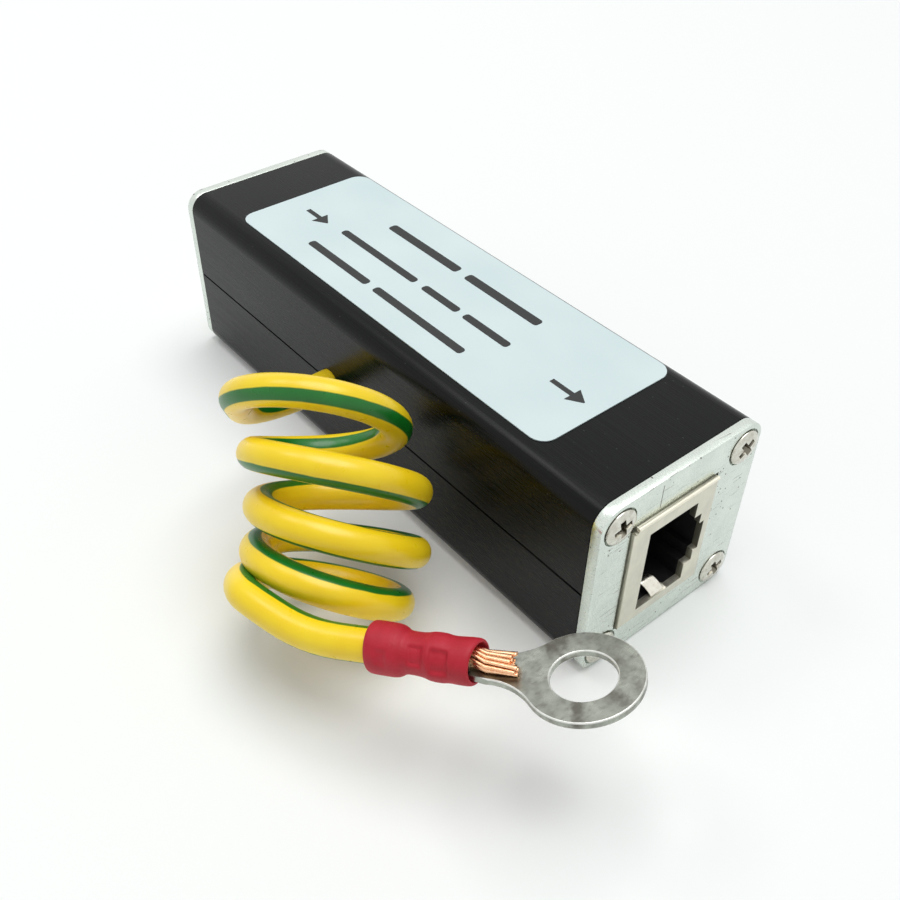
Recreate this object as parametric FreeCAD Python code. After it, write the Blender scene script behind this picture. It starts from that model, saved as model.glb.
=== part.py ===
import FreeCAD, Part
import math
import os

# Ethernet surge protector: a split extruded housing with a shielded socket at each
# end, a circuit board between them, and a coiled earth lead with a ring terminal.
# Millimetres. X runs along the housing, from the line side to the device side, the
# lead leaves the -Y side, and Z is up. The origin is the middle of the underside.

os.makedirs("parts", exist_ok=True)
V = FreeCAD.Vector

# Housing
HOUSING_WIDTH = 25.0
HOUSING_HEIGHT = 25.0
BODY_LENGTH = 80.0
CORNER_RADIUS = 2.5
WALL = 1.6
SEAM_WIDTH = 0.3
SEAM_DEPTH = 0.25
TONGUE_HEIGHT = 1.2
TONGUE_CLEARANCE = 0.05
RIB_HEIGHT = 1.5
RIB_THICKNESS = 0.9
OVERCUT = 1.0

# End plates and screws; the corner ports and their screws are shares of the housing's
# smaller side
PORT_INSET_SHARE = 0.114
PORT_SHARE = 0.084
SCREW_SHARE = 0.1
SCREW_HEAD_SHARE = 0.188
PLATE_THICKNESS = 1.4
PLATE_EDGE_RADIUS = 0.35
WINDOW_CLEARANCE = 0.2
SCREW_LENGTH = 8.0
SCREW_HEAD_RIM = 0.2
SCREW_CLEARANCE = 0.1
THREAD_CLEARANCE = 0.02
RECESS_SPAN = 2.6
RECESS_SLOT = 0.65
RECESS_DEPTH = 1.0
RECESS_POINT_DEPTH = 1.4

# Label
LABEL_LENGTH = 60.6
LABEL_WIDTH = 20.6
LABEL_THICKNESS = 0.12
LABEL_RADIUS = 2.0
LABEL_SHIFT_X = -0.4
LABEL_SHIFT_Y = 0.4

# Sockets, measured from the board side across to the contact side; the share is the
# part of the housing's free width that lies between a socket and the lead's wall
SOCKET_GAP_SHARE = 0.56
JACK_DEPTH = 21.3
JACK_HEIGHT = 13.3
JACK_WIDTH = 15.9
JACK_SETBACK = 0.1
SOCKET_CLEARANCE = 0.02
SHEET = 0.3
SHEET_BEND_RADIUS = 0.7
SHEET_FOLD_RADIUS = 0.25
RELIEF_RADIUS = 0.4
CAVITY_WIDTH = 12.2
CAVITY_HEIGHT = 7.6
CAVITY_DEPTH = 13.5
CAVITY_RIM = 2.75
CAVITY_DROP = 0.4
LATCH_DEPTH = 7.0
LATCH_WIDTH = 7.5
LATCH_RISE = 1.15
LATCH_THROAT_WIDTH = 4.4
LATCH_THROAT_RISE = 0.75
FINGER_WIDTH = 2.2
FINGER_PLACE = 3.0
FINGER_REACH = 4.2
FINGER_TAIL = 2.2
FINGER_RISE = 1.4
FINGER_SHEET = 0.25
SHIELD_TAB_WIDTH = 1.6
SHIELD_TAB_PLACE = 9.0
CONTACT_COUNT = 8
CONTACT_PITCH = 1.02
CONTACT_WIRE = 0.45
CONTACT_RUN = 1.2
CONTACT_NOSE = 3.0
CONTACT_NOSE_LENGTH = 0.7
CONTACT_SWEEP = 6.6
CONTACT_RISE = 1.6
COMB_WIDTH = 0.63
PIN_INSET = 2.6
PIN_STAGGER = 2.54
PIN_PROUD = 1.0
PIN_HOLE_RADIUS = 0.34

# Circuit board and what it carries; the places are shares of half the length between
# the sockets
BOARD_THICKNESS = 1.6
BOARD_CLEARANCE = 0.1
HOLE_CLEARANCE = 0.1
TUBE_PLACES = (-0.815, -0.05, 0.35, 0.75)
TUBE_LENGTH = 8.0
TUBE_RADIUS = 2.2
TUBE_FLANGE_RADIUS = 2.4
TUBE_FLANGE_WIDTH = 0.6
TUBE_STANDOFF = 0.3
TUBE_PIN_RADIUS = 0.4
ARRAY_PLACES = (-0.4, 0.4)
ARRAY_WIDTH = 3.9
ARRAY_HEIGHT = 1.5
ARRAY_STANDOFF = 0.15
ARRAY_GAP = 0.25
ARRAY_LEADS = 4
ARRAY_LEAD_PITCH_SHARE = 0.26
ARRAY_LEAD_WIDTH = 0.42
ARRAY_LEAD_SHEET = 0.2
ARRAY_LEAD_REACH = 1.05
RESISTOR_PLACES = (-0.75, -0.5, 0.15, 0.6)
RESISTOR_LENGTH = 3.2
RESISTOR_WIDTH = 1.6
RESISTOR_HEIGHT = 0.6
RESISTOR_EDGE_INSET = 3.2

# Earth lead
LEAD_DIAMETER = 3.7
LEAD_CORE_DIAMETER = 2.05
LEAD_CLEARANCE = 0.1
LEAD_EXIT_X = -6.5
LEAD_STRIP = 4.5
SOLDER_HEIGHT = 1.2
SOLDER_RADIUS = 2.1
SOLDER_LIP = 0.15
TIE_WIDTH = 2.4
TIE_THICKNESS = 0.9
TIE_HEAD = 3.4
TIE_GAP = 0.1
BEND_SHARE = 0.45
EXIT_POINTS = (V(-6.5, -19.0, 12.5), V(-5.2, -26.0, 15.2))
TAIL_POINT = V(26.3, -38.0, 12.6)

# Coil of the lead: the ring centres follow a bent line, written as a middle point
# with a run, a bow and a hook, and the rings lean and roll from turn to turn.
COIL_TURNS = 4.2
COIL_SPAN_TURNS = 4.0
COIL_MIDDLE = V(15.1, -26.0, 13.9)
COIL_RUN = V(5.0, -4.2, -10.6)
COIL_BOW = V(-2.9, -1.8, 1.2)
COIL_HOOK = V(2.3, -0.7, 3.1)
COIL_RADIUS = 8.9
COIL_END_SHRINK = 0.95
COIL_HEADING = 50.6
COIL_LEAN = 39.7
COIL_LEAN_RUN = -9.2
COIL_LEAN_BOW = 8.1
COIL_ROLL = -6.7
COIL_ROLL_RUN = -10.1
COIL_PHASE = -3.7
COIL_SECTIONS = 7
COIL_FOOT_COVER = 1.4
COIL_LEAVING_TURN = 4.12

# Ring terminal: hole centre, the way that it points, and its own sizes
TERMINAL_PLACE = V(50.0, -22.6, 17.0)
TERMINAL_HEADING = 34.0
TERMINAL_PITCH = 13.0
TERMINAL_ROLL = -6.0
RING_DIAMETER = 11.6
RING_HOLE = 6.4
TONGUE_THICKNESS = 0.8
NECK_WIDTH = 3.6
NECK_FILLET = 6.0
BARREL_INNER = 2.1
BARREL_OUTER = 3.6
BARREL_START = 10.6
BARREL_LENGTH = 6.2
SLEEVE_START = 10.0
SLEEVE_LENGTH = 11.1
SLEEVE_WALL = 0.45
SLEEVE_FLARE_LENGTH = 3.6
SLEEVE_FLARE_WALL = 0.6
SLEEVE_CLEARANCE = 0.05
STRANDS_PROUD = 3.6

# Places worked out from the sizes above
MIDDLE_Z = HOUSING_HEIGHT / 2
SMALLER_SIDE = min(HOUSING_WIDTH, HOUSING_HEIGHT)
PORT_INSET = PORT_INSET_SHARE * SMALLER_SIDE
PORT_RADIUS = PORT_SHARE * SMALLER_SIDE
SCREW_DIAMETER = SCREW_SHARE * SMALLER_SIDE
SCREW_HEAD_DIAMETER = SCREW_HEAD_SHARE * SMALLER_SIDE
INNER_WIDTH = HOUSING_WIDTH - 2 * WALL
INNER_HEIGHT = HOUSING_HEIGHT - 2 * WALL
FREE_WIDTH = INNER_WIDTH - JACK_HEIGHT - BOARD_THICKNESS - PIN_PROUD
JACK_TOP_Y = SOCKET_GAP_SHARE * FREE_WIDTH - INNER_WIDTH / 2
BOARD_FACE_Y = JACK_TOP_Y + JACK_HEIGHT
PLATE_FACE_X = BODY_LENGTH / 2 + PLATE_THICKNESS
JACK_FACE_X = PLATE_FACE_X - JACK_SETBACK
JACK_BACK_X = JACK_FACE_X - JACK_DEPTH
CAVITY_MIDDLE_Z = MIDDLE_Z - CAVITY_DROP
CAVITY_NEAR_Y = JACK_TOP_Y + CAVITY_RIM
CAVITY_FAR_Y = CAVITY_NEAR_Y + CAVITY_HEIGHT
BOARD_BACK_Y = BOARD_FACE_Y + BOARD_THICKNESS
ARRAY_LENGTH = (INNER_HEIGHT - TUBE_LENGTH) / 2 - RIB_HEIGHT - 2 * ARRAY_GAP
ARRAY_LEAD_PITCH = ARRAY_LEAD_PITCH_SHARE * ARRAY_LENGTH
LEAD_RADIUS = LEAD_DIAMETER / 2
LEAD_HOLE_RADIUS = LEAD_RADIUS + LEAD_CLEARANCE
LEAD_BARE_Y = BOARD_FACE_Y - LEAD_STRIP
PORT_OFFSET_Y = HOUSING_WIDTH / 2 - PORT_INSET
PORT_OFFSET_Z = HOUSING_HEIGHT / 2 - PORT_INSET
BARREL_AXIS_Z = BARREL_OUTER / 2
BARREL_END = BARREL_START + BARREL_LENGTH
SLEEVE_END = SLEEVE_START + SLEEVE_LENGTH
STRANDS_LENGTH = BARREL_END - SLEEVE_START + STRANDS_PROUD


def block(x_range, y_range, z_range):
    """Box between three pairs of limits."""
    size = [high - low for low, high in (x_range, y_range, z_range)]
    return Part.makeBox(*size, V(x_range[0], y_range[0], z_range[0]))


def around(middle, size):
    """Limits of a size centred on a value."""
    return (middle - size / 2, middle + size / 2)


def rod(radius, length, start, direction):
    return Part.makeCylinder(radius, length, start, direction)


def rounded_rectangle(width, height, radius):
    """Closed wire in the XY plane, centred on the origin."""
    w = width / 2 - radius
    h = height / 2 - radius
    edges = []
    corners = [(w, h, 0), (-w, h, 90), (-w, -h, 180), (w, -h, 270)]
    for index, (x, y, turn) in enumerate(corners):
        edges.append(Part.makeCircle(radius, V(x, y, 0), V(0, 0, 1), turn, turn + 90))
        next_x, next_y, _ = corners[(index + 1) % 4]
        away = math.radians(turn + 90)
        end = V(x + radius * math.cos(away), y + radius * math.sin(away), 0)
        start = V(next_x + radius * math.cos(away), next_y + radius * math.sin(away), 0)
        edges.append(Part.makeLine(end, start))
    return Part.Wire(edges)


def bar(length, width, height, radius, start_x):
    """Rounded bar along X, centred on the housing's section."""
    solid = Part.Face(rounded_rectangle(width, height, radius)).extrude(V(0, 0, length))
    solid.Placement = FreeCAD.Placement(V(start_x, 0, MIDDLE_Z), FreeCAD.Rotation(V(1, 1, 1), 120))
    return solid


def ribbon(points, thickness):
    """Face that follows a line of points in the XY plane with mitred bends."""
    normals = []
    for start, end in zip(points, points[1:]):
        step = (end - start).normalize()
        normals.append(V(-step.y, step.x, 0))
    left = []
    right = []
    for index, point in enumerate(points):
        before = normals[max(index - 1, 0)]
        after = normals[min(index, len(normals) - 1)]
        mitre = before + after
        mitre = mitre * (thickness / mitre.dot(mitre))
        left.append(point + mitre)
        right.append(point - mitre)
    outline = left + right[::-1]
    return Part.Face(Part.makePolygon(outline + outline[:1]))


def turned(shape):
    """The same piece at the other end, turned half a turn about the Y axis."""
    copy = shape.copy()
    copy.rotate(V(0, 0, MIDDLE_Z), V(0, 1, 0), 180)
    return copy


def port_centres():
    return [(y * PORT_OFFSET_Y, MIDDLE_Z + z * PORT_OFFSET_Z) for y in (-1, 1) for z in (-1, 1)]


def lead_hole():
    start = V(LEAD_EXIT_X, -HOUSING_WIDTH / 2 - OVERCUT, MIDDLE_Z)
    return rod(LEAD_HOLE_RADIUS, WALL + 2 * OVERCUT, start, V(0, 1, 0))


def extrusion():
    """Whole housing section before it is parted: walls, screw ports and board ribs."""
    start = -BODY_LENGTH / 2
    outer = bar(BODY_LENGTH, HOUSING_WIDTH, HOUSING_HEIGHT, CORNER_RADIUS, start)
    inner_radius = max(CORNER_RADIUS - WALL, WALL / 4)
    inner = bar(BODY_LENGTH + 2 * OVERCUT, INNER_WIDTH, INNER_HEIGHT, inner_radius, start - OVERCUT)
    bore = SCREW_DIAMETER / 2 + THREAD_CLEARANCE
    ports = []
    holes = []
    for y, z in port_centres():
        ports.append(rod(PORT_RADIUS, BODY_LENGTH, V(start, y, z), V(1, 0, 0)))
        holes.append(rod(bore, BODY_LENGTH + 2 * OVERCUT, V(start - OVERCUT, y, z), V(1, 0, 0)))
    rib_y = (BOARD_FACE_Y - BOARD_CLEARANCE - RIB_THICKNESS, BOARD_FACE_Y - BOARD_CLEARANCE)
    roof = HOUSING_HEIGHT - WALL
    ribs = [
        block((start, -start), rib_y, (WALL / 2, WALL + RIB_HEIGHT)),
        block((start, -start), rib_y, (roof - RIB_HEIGHT, roof + WALL / 2)),
    ]
    seam_x = (start - OVERCUT, OVERCUT - start)
    for side in (-1, 1):
        seam_y = around(side * HOUSING_WIDTH / 2, 2 * SEAM_DEPTH)
        holes.append(block(seam_x, seam_y, around(MIDDLE_Z, SEAM_WIDTH)))
    socket = jack_block(SOCKET_CLEARANCE)
    slot_y = (BOARD_FACE_Y - BOARD_CLEARANCE, BOARD_BACK_Y + BOARD_CLEARANCE)
    slot = block((start - OVERCUT, OVERCUT - start), slot_y, around(MIDDLE_Z, INNER_HEIGHT))
    holes += [lead_hole(), socket, turned(socket), slot]
    return outer.cut(inner).fuse(ports + ribs).cut(holes).removeSplitter()


def tongues(clearance):
    """Strips on the inner half of both side walls that key the two shells."""
    strips = []
    inside = INNER_WIDTH / 2 - clearance
    face = INNER_WIDTH / 2 + WALL / 2 + clearance
    height = (MIDDLE_Z, MIDDLE_Z + TONGUE_HEIGHT + clearance)
    for side in (-1, 1):
        strips.append(block(around(0, BODY_LENGTH), sorted((side * inside, side * face)), height))
    return strips


def half_space(z_range):
    """Block wider and longer than the housing, between two heights."""
    return block(around(0, 2 * BODY_LENGTH), around(0, 2 * HOUSING_WIDTH), z_range)


def lower_shell():
    half = extrusion().common(half_space((-OVERCUT, MIDDLE_Z)))
    return half.fuse(tongues(0)).cut(lead_hole()).removeSplitter()


def upper_shell():
    half = extrusion().common(half_space((MIDDLE_Z, HOUSING_HEIGHT + OVERCUT)))
    return half.cut(tongues(TONGUE_CLEARANCE)).removeSplitter()


def jack_block(margin):
    """Outer box of a socket at the device end, grown by a margin."""
    return block(
        (JACK_BACK_X - margin, JACK_FACE_X + margin),
        (JACK_TOP_Y - margin, BOARD_FACE_Y),
        (MIDDLE_Z - JACK_WIDTH / 2 - margin, MIDDLE_Z + JACK_WIDTH / 2 + margin),
    )


def end_plate():
    plate = bar(PLATE_THICKNESS, HOUSING_WIDTH, HOUSING_HEIGHT, CORNER_RADIUS, BODY_LENGTH / 2)
    rim = [edge for edge in plate.Edges if abs(edge.CenterOfMass.x - PLATE_FACE_X) < 0.001]
    plate = plate.makeFillet(min(PLATE_EDGE_RADIUS, PLATE_THICKNESS / 2), rim)
    window_y = (JACK_TOP_Y - WINDOW_CLEARANCE, BOARD_FACE_Y + WINDOW_CLEARANCE)
    window_z = around(MIDDLE_Z, JACK_WIDTH + 2 * WINDOW_CLEARANCE)
    plate = plate.cut(block(around(PLATE_FACE_X, 4 * PLATE_THICKNESS), window_y, window_z))
    for y, z in port_centres():
        plate = plate.cut(screw_envelope(y, z, SCREW_CLEARANCE))
    return plate


def screw_envelope(y, z, clearance):
    """Countersunk screw outline, from its flat head inwards, grown by a clearance."""
    head = SCREW_HEAD_DIAMETER / 2 + clearance
    shank = SCREW_DIAMETER / 2 + clearance
    rim = SCREW_HEAD_RIM + clearance
    cone = head - shank
    profile = [
        V(0, 0, 0), V(0, 0, head), V(-rim, 0, head), V(-rim - cone, 0, shank),
        V(-SCREW_LENGTH, 0, shank), V(-SCREW_LENGTH, 0, 0), V(0, 0, 0),
    ]
    solid = Part.Face(Part.makePolygon(profile)).revolve(V(0, 0, 0), V(1, 0, 0), 360)
    solid.translate(V(PLATE_FACE_X, y, z))
    return solid


def plate_screws():
    """Four countersunk screws with a cross recess, each in its corner port."""
    screws = []
    for y, z in port_centres():
        depth = around(PLATE_FACE_X, 2 * RECESS_DEPTH)
        long_slot = block(depth, around(y, RECESS_SPAN), around(z, RECESS_SLOT))
        cross_slot = block(depth, around(y, RECESS_SLOT), around(z, RECESS_SPAN))
        face = V(PLATE_FACE_X, y, z)
        point = Part.makeCone(RECESS_SLOT, RECESS_SLOT / 3, RECESS_POINT_DEPTH, face, V(-1, 0, 0))
        screws.append(screw_envelope(y, z, 0).cut([long_slot, cross_slot, point]))
    return Part.makeCompound(screws)


def label():
    outline = Part.Face(rounded_rectangle(LABEL_LENGTH, LABEL_WIDTH, LABEL_RADIUS))
    sheet = outline.extrude(V(0, 0, LABEL_THICKNESS))
    sheet.translate(V(LABEL_SHIFT_X, LABEL_SHIFT_Y, HOUSING_HEIGHT))
    return sheet


def plug_cavity():
    """Space for the plug with the two steps of its latch, open at the face."""
    mouth = JACK_FACE_X + OVERCUT
    throat_y = CAVITY_FAR_Y + LATCH_RISE
    body_x = (JACK_FACE_X - CAVITY_DEPTH, mouth)
    latch_x = (JACK_FACE_X - LATCH_DEPTH, mouth)
    throat_z = around(CAVITY_MIDDLE_Z, LATCH_THROAT_WIDTH)
    body = block(body_x, (CAVITY_NEAR_Y, CAVITY_FAR_Y), around(CAVITY_MIDDLE_Z, CAVITY_WIDTH))
    latch = block(latch_x, (CAVITY_FAR_Y, throat_y), around(CAVITY_MIDDLE_Z, LATCH_WIDTH))
    throat = block(latch_x, (throat_y, throat_y + LATCH_THROAT_RISE), throat_z)
    return body.fuse([latch, throat]).removeSplitter()


def spring_finger():
    """Grounding finger folded in from the cavity's lower edge."""
    floor = CAVITY_MIDDLE_Z - CAVITY_WIDTH / 2
    start = JACK_FACE_X - SHEET / 2
    line = [
        V(start, floor - SHEET, 0),
        V(start - SHEET, floor + FINGER_SHEET, 0),
        V(start - FINGER_REACH, floor + FINGER_RISE, 0),
        V(start - FINGER_REACH - FINGER_TAIL, floor + FINGER_SHEET, 0),
    ]
    finger = ribbon(line, FINGER_SHEET).extrude(V(0, 0, FINGER_WIDTH))
    finger.rotate(V(0, 0, 0), V(1, 0, 0), 90)
    finger.translate(V(0, CAVITY_NEAR_Y + FINGER_PLACE + FINGER_WIDTH, 0))
    return finger


def jack_shield():
    """Folded sheet can: front with the plug opening, three sides, back and two tabs."""
    can = jack_block(0)
    top_z = MIDDLE_Z + JACK_WIDTH / 2
    bend = [edge for edge in can.Edges if edge_at(edge, JACK_FACE_X, None, top_z)]
    can = can.makeFillet(SHEET_BEND_RADIUS, bend)
    fold = [edge for edge in can.Edges if edge_at(edge, JACK_FACE_X, JACK_TOP_Y, None)]
    can = can.makeFillet(min(SHEET_FOLD_RADIUS, SHEET), fold)
    can = can.cut(jack_core()).cut(plug_cavity())
    relief_x = JACK_FACE_X - SHEET_BEND_RADIUS - SHEET
    relief = V(relief_x, JACK_TOP_Y + RELIEF_RADIUS, top_z - RELIEF_RADIUS)
    can = can.cut(rod(RELIEF_RADIUS, 2 * OVERCUT, relief, V(1, 0, 0)))
    tab_x = around(JACK_BACK_X + SHIELD_TAB_PLACE, SHIELD_TAB_WIDTH)
    tab_y = (BOARD_FACE_Y - SHEET, BOARD_BACK_Y + PIN_PROUD)
    tabs = [block(tab_x, tab_y, limits) for limits in shield_tab_walls()]
    return can.fuse(tabs + [spring_finger()]).removeSplitter()


def edge_at(edge, x, y, z):
    """True where an edge lies at the given coordinates; None is any value."""
    centre = edge.CenterOfMass
    pairs = ((centre.x, x), (centre.y, y), (centre.z, z))
    return all(want is None or abs(have - want) < 0.01 for have, want in pairs)


def shield_tab_walls():
    low = MIDDLE_Z - JACK_WIDTH / 2
    high = MIDDLE_Z + JACK_WIDTH / 2
    return [(low, low + SHEET), (high - SHEET, high)]


def jack_core():
    """Space inside the shield, down to the board."""
    core = block(
        (JACK_BACK_X + SHEET, JACK_FACE_X - SHEET),
        (JACK_TOP_Y + SHEET, BOARD_FACE_Y),
        around(MIDDLE_Z, JACK_WIDTH - 2 * SHEET),
    )
    top_z = MIDDLE_Z + JACK_WIDTH / 2 - SHEET
    bend = [edge for edge in core.Edges if edge_at(edge, JACK_FACE_X - SHEET, None, top_z)]
    return core.makeFillet(SHEET_BEND_RADIUS - SHEET, bend)


def contact(index):
    """One socket contact: board pin, run along the contact side, and spring nose."""
    run_y = JACK_TOP_Y + CONTACT_RUN
    pin_x = JACK_BACK_X + PIN_INSET + PIN_STAGGER * (index % 2)
    nose_x = JACK_FACE_X - CONTACT_NOSE
    line = [
        V(pin_x, BOARD_BACK_Y + PIN_PROUD, 0),
        V(pin_x, run_y, 0),
        V(nose_x - CONTACT_NOSE_LENGTH, run_y, 0),
        V(nose_x, run_y + CONTACT_NOSE_LENGTH, 0),
        V(nose_x - CONTACT_NOSE_LENGTH, CAVITY_NEAR_Y, 0),
        V(nose_x - CONTACT_NOSE_LENGTH - CONTACT_SWEEP, CAVITY_NEAR_Y + CONTACT_RISE, 0),
    ]
    wire = ribbon(line, CONTACT_WIRE).extrude(V(0, 0, CONTACT_WIRE))
    wire.translate(V(0, 0, contact_height(index) - CONTACT_WIRE / 2))
    return wire


def contact_height(index):
    return CAVITY_MIDDLE_Z + (index - (CONTACT_COUNT - 1) / 2) * CONTACT_PITCH


def jack_contacts():
    return Part.makeCompound([contact(index) for index in range(CONTACT_COUNT)])


def contact_comb():
    """Slots in the insert where the sprung noses can move down out of the plug's way."""
    end = JACK_FACE_X - CONTACT_NOSE
    slot_x = (end - 2 * CONTACT_NOSE_LENGTH - CONTACT_SWEEP, end)
    slot_y = (JACK_TOP_Y + CONTACT_RUN, CAVITY_NEAR_Y)
    heights = [contact_height(index) for index in range(CONTACT_COUNT)]
    return [block(slot_x, slot_y, around(z, COMB_WIDTH)) for z in heights]


def jack_insert():
    """Moulded body inside the shield, with the plug cavity and the contact slots."""
    body = jack_core().cut(plug_cavity())
    body = body.cut(contact_comb()).cut(jack_contacts().Solids)
    return body.cut(spring_finger())


def bay_places(shares):
    """Places along X in the bay between the two sockets."""
    return [share * JACK_BACK_X for share in shares]


def board_outline():
    length = BODY_LENGTH - 2 * BOARD_CLEARANCE
    height = INNER_HEIGHT - 2 * BOARD_CLEARANCE
    return block(around(0, length), (BOARD_FACE_Y, BOARD_BACK_Y), around(MIDDLE_Z, height))


def circuit_board():
    """Board in the housing's slots, with holes for each pin, tab and the earth core."""
    holes = []
    for index in range(CONTACT_COUNT):
        x = JACK_BACK_X + PIN_INSET + PIN_STAGGER * (index % 2)
        holes.append(pin_hole(x, contact_height(index), PIN_HOLE_RADIUS))
    tab_x = around(JACK_BACK_X + SHIELD_TAB_PLACE, SHIELD_TAB_WIDTH + 2 * HOLE_CLEARANCE)
    through = (BOARD_FACE_Y - OVERCUT, BOARD_BACK_Y + OVERCUT)
    for low, high in shield_tab_walls():
        holes.append(block(tab_x, through, (low - HOLE_CLEARANCE, high + HOLE_CLEARANCE)))
    holes += [turned(hole) for hole in holes]
    for x in bay_places(TUBE_PLACES):
        holes += [pin_hole(x, z, TUBE_PIN_RADIUS + HOLE_CLEARANCE) for z in electrode_places()]
    holes.append(pin_hole(LEAD_EXIT_X, MIDDLE_Z, LEAD_CORE_DIAMETER / 2 + HOLE_CLEARANCE))
    return board_outline().cut(holes)


def pin_hole(x, z, radius):
    start = V(x, BOARD_FACE_Y - OVERCUT, z)
    return rod(radius, BOARD_THICKNESS + 2 * OVERCUT, start, V(0, 1, 0))


def electrode_places():
    reach = TUBE_LENGTH / 2 - TUBE_FLANGE_WIDTH / 2
    return [MIDDLE_Z - reach, MIDDLE_Z, MIDDLE_Z + reach]


def gas_tube(x):
    """Three-electrode gas discharge tube lying along Z, pinned to the board."""
    axis_y = BOARD_FACE_Y - TUBE_STANDOFF - TUBE_FLANGE_RADIUS
    low = V(x, axis_y, MIDDLE_Z - TUBE_LENGTH / 2)
    solids = []
    for z in electrode_places():
        flange = V(x, axis_y, z - TUBE_FLANGE_WIDTH / 2)
        solids.append(rod(TUBE_FLANGE_RADIUS, TUBE_FLANGE_WIDTH, flange, V(0, 0, 1)))
        pin = V(x, axis_y, z)
        solids.append(rod(TUBE_PIN_RADIUS, BOARD_BACK_Y + PIN_PROUD - axis_y, pin, V(0, 1, 0)))
    return rod(TUBE_RADIUS, TUBE_LENGTH, low, V(0, 0, 1)).fuse(solids).removeSplitter()


def diode_array(x):
    """Surge diode array: small moulded package with gull-wing leads on two sides."""
    z = MIDDLE_Z + INNER_HEIGHT / 2 - RIB_HEIGHT - ARRAY_GAP - ARRAY_LENGTH / 2
    back = BOARD_FACE_Y - ARRAY_STANDOFF
    package = block(around(x, ARRAY_WIDTH), (back - ARRAY_HEIGHT, back), around(z, ARRAY_LENGTH))
    side = ARRAY_WIDTH / 2
    mid_y = back - ARRAY_HEIGHT / 2
    foot_y = BOARD_FACE_Y - ARRAY_LEAD_SHEET / 2
    knee = ARRAY_LEAD_REACH / 2
    leads = []
    for index in range(ARRAY_LEADS):
        lead_z = z + (index - (ARRAY_LEADS - 1) / 2) * ARRAY_LEAD_PITCH - ARRAY_LEAD_WIDTH / 2
        for way in (-1, 1):
            line = [
                V(x + way * (side - knee), mid_y, lead_z),
                V(x + way * (side + knee - ARRAY_LEAD_SHEET), mid_y, lead_z),
                V(x + way * (side + knee), foot_y, lead_z),
                V(x + way * (side + ARRAY_LEAD_REACH), foot_y, lead_z),
            ]
            leads.append(ribbon(line, ARRAY_LEAD_SHEET).extrude(V(0, 0, ARRAY_LEAD_WIDTH)))
    return package.fuse(leads).removeSplitter()


def series_resistors():
    y_range = (BOARD_FACE_Y - RESISTOR_HEIGHT, BOARD_FACE_Y)
    z_range = around(MIDDLE_Z - INNER_HEIGHT / 2 + RESISTOR_EDGE_INSET, RESISTOR_WIDTH)
    chips = [block(around(x, RESISTOR_LENGTH), y_range, z_range) for x in bay_places(RESISTOR_PLACES)]
    return Part.makeCompound(chips)


def lead_core():
    """Bare end of the lead's conductor, through the board."""
    length = BOARD_BACK_Y + PIN_PROUD - LEAD_BARE_Y
    return rod(LEAD_CORE_DIAMETER / 2, length, V(LEAD_EXIT_X, LEAD_BARE_Y, MIDDLE_Z), V(0, 1, 0))


def earth_joint():
    """Solder fillet round the bare end on the board."""
    base = V(LEAD_EXIT_X, BOARD_FACE_Y, MIDDLE_Z)
    lip = LEAD_CORE_DIAMETER / 2 + SOLDER_LIP
    return Part.makeCone(SOLDER_RADIUS, lip, SOLDER_HEIGHT, base, V(0, -1, 0)).cut(lead_core())


def lead_inner():
    start = V(LEAD_EXIT_X, -HOUSING_WIDTH / 2, MIDDLE_Z)
    return rod(LEAD_RADIUS, LEAD_BARE_Y + HOUSING_WIDTH / 2, start, V(0, 1, 0))


def lead_tie():
    """Tie round the lead just inside the wall, which keeps a pull off the solder."""
    start_y = -INNER_WIDTH / 2 + TIE_GAP
    start = V(LEAD_EXIT_X, start_y, MIDDLE_Z)
    band = rod(LEAD_RADIUS + TIE_THICKNESS, TIE_WIDTH, start, V(0, 1, 0))
    head_z = (MIDDLE_Z + LEAD_RADIUS + TIE_THICKNESS / 2, MIDDLE_Z + LEAD_RADIUS + TIE_HEAD)
    head = block(around(LEAD_EXIT_X, TIE_HEAD), (start_y, start_y + TIE_WIDTH), head_z)
    return band.fuse(head).cut(lead_inner()).removeSplitter()


def coil_frame(turn):
    """Centre, radius and axes of the ring at a turn: across, high side and normal."""
    s = 2 * turn / COIL_SPAN_TURNS - 1
    centre = COIL_MIDDLE + COIL_RUN * s + COIL_BOW * s ** 2 + COIL_HOOK * s ** 3
    radius = COIL_RADIUS - COIL_END_SHRINK * s ** 2
    heading = math.radians(COIL_HEADING)
    lean = math.radians(COIL_LEAN + COIL_LEAN_RUN * s + COIL_LEAN_BOW * s ** 2)
    roll = math.radians(COIL_ROLL + COIL_ROLL_RUN * s)
    level = V(math.cos(heading), math.sin(heading), 0)
    outward = V(math.sin(heading), -math.cos(heading), 0)
    high = outward * math.cos(lean) + V(0, 0, 1) * math.sin(lean)
    normal = level.cross(high)
    across = level * math.cos(roll) - normal * math.sin(roll)
    return centre, radius, across, high, high.cross(across)


def coil_point(turn):
    """Point of the lead's centre line in the coil."""
    centre, radius, across, high, _ = coil_frame(turn)
    angle = 2 * math.pi * turn + math.radians(COIL_PHASE)
    return centre - across * (radius * math.cos(angle)) + high * (radius * math.sin(angle))


def coil_body(inset):
    """Bent bar through the rings, as wide as the coil, less an inset all round."""
    sections = []
    for index in range(COIL_SECTIONS):
        turn = COIL_TURNS * index / (COIL_SECTIONS - 1)
        centre, radius, across, high, normal = coil_frame(turn)
        if index == 0:
            centre = centre + normal * LEAD_RADIUS
        if index == COIL_SECTIONS - 1:
            centre = centre - normal * COIL_FOOT_COVER
        side = normal.cross(across)
        axes = FreeCAD.Matrix(
            across.x, side.x, normal.x, centre.x,
            across.y, side.y, normal.y, centre.y,
            across.z, side.z, normal.z, centre.z,
            0, 0, 0, 1,
        )
        circle = Part.Wire(Part.makeCircle(radius + LEAD_RADIUS - inset))
        circle.Placement = FreeCAD.Placement(axes)
        sections.append(circle)
    return Part.makeLoft(sections, True, True)


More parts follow.
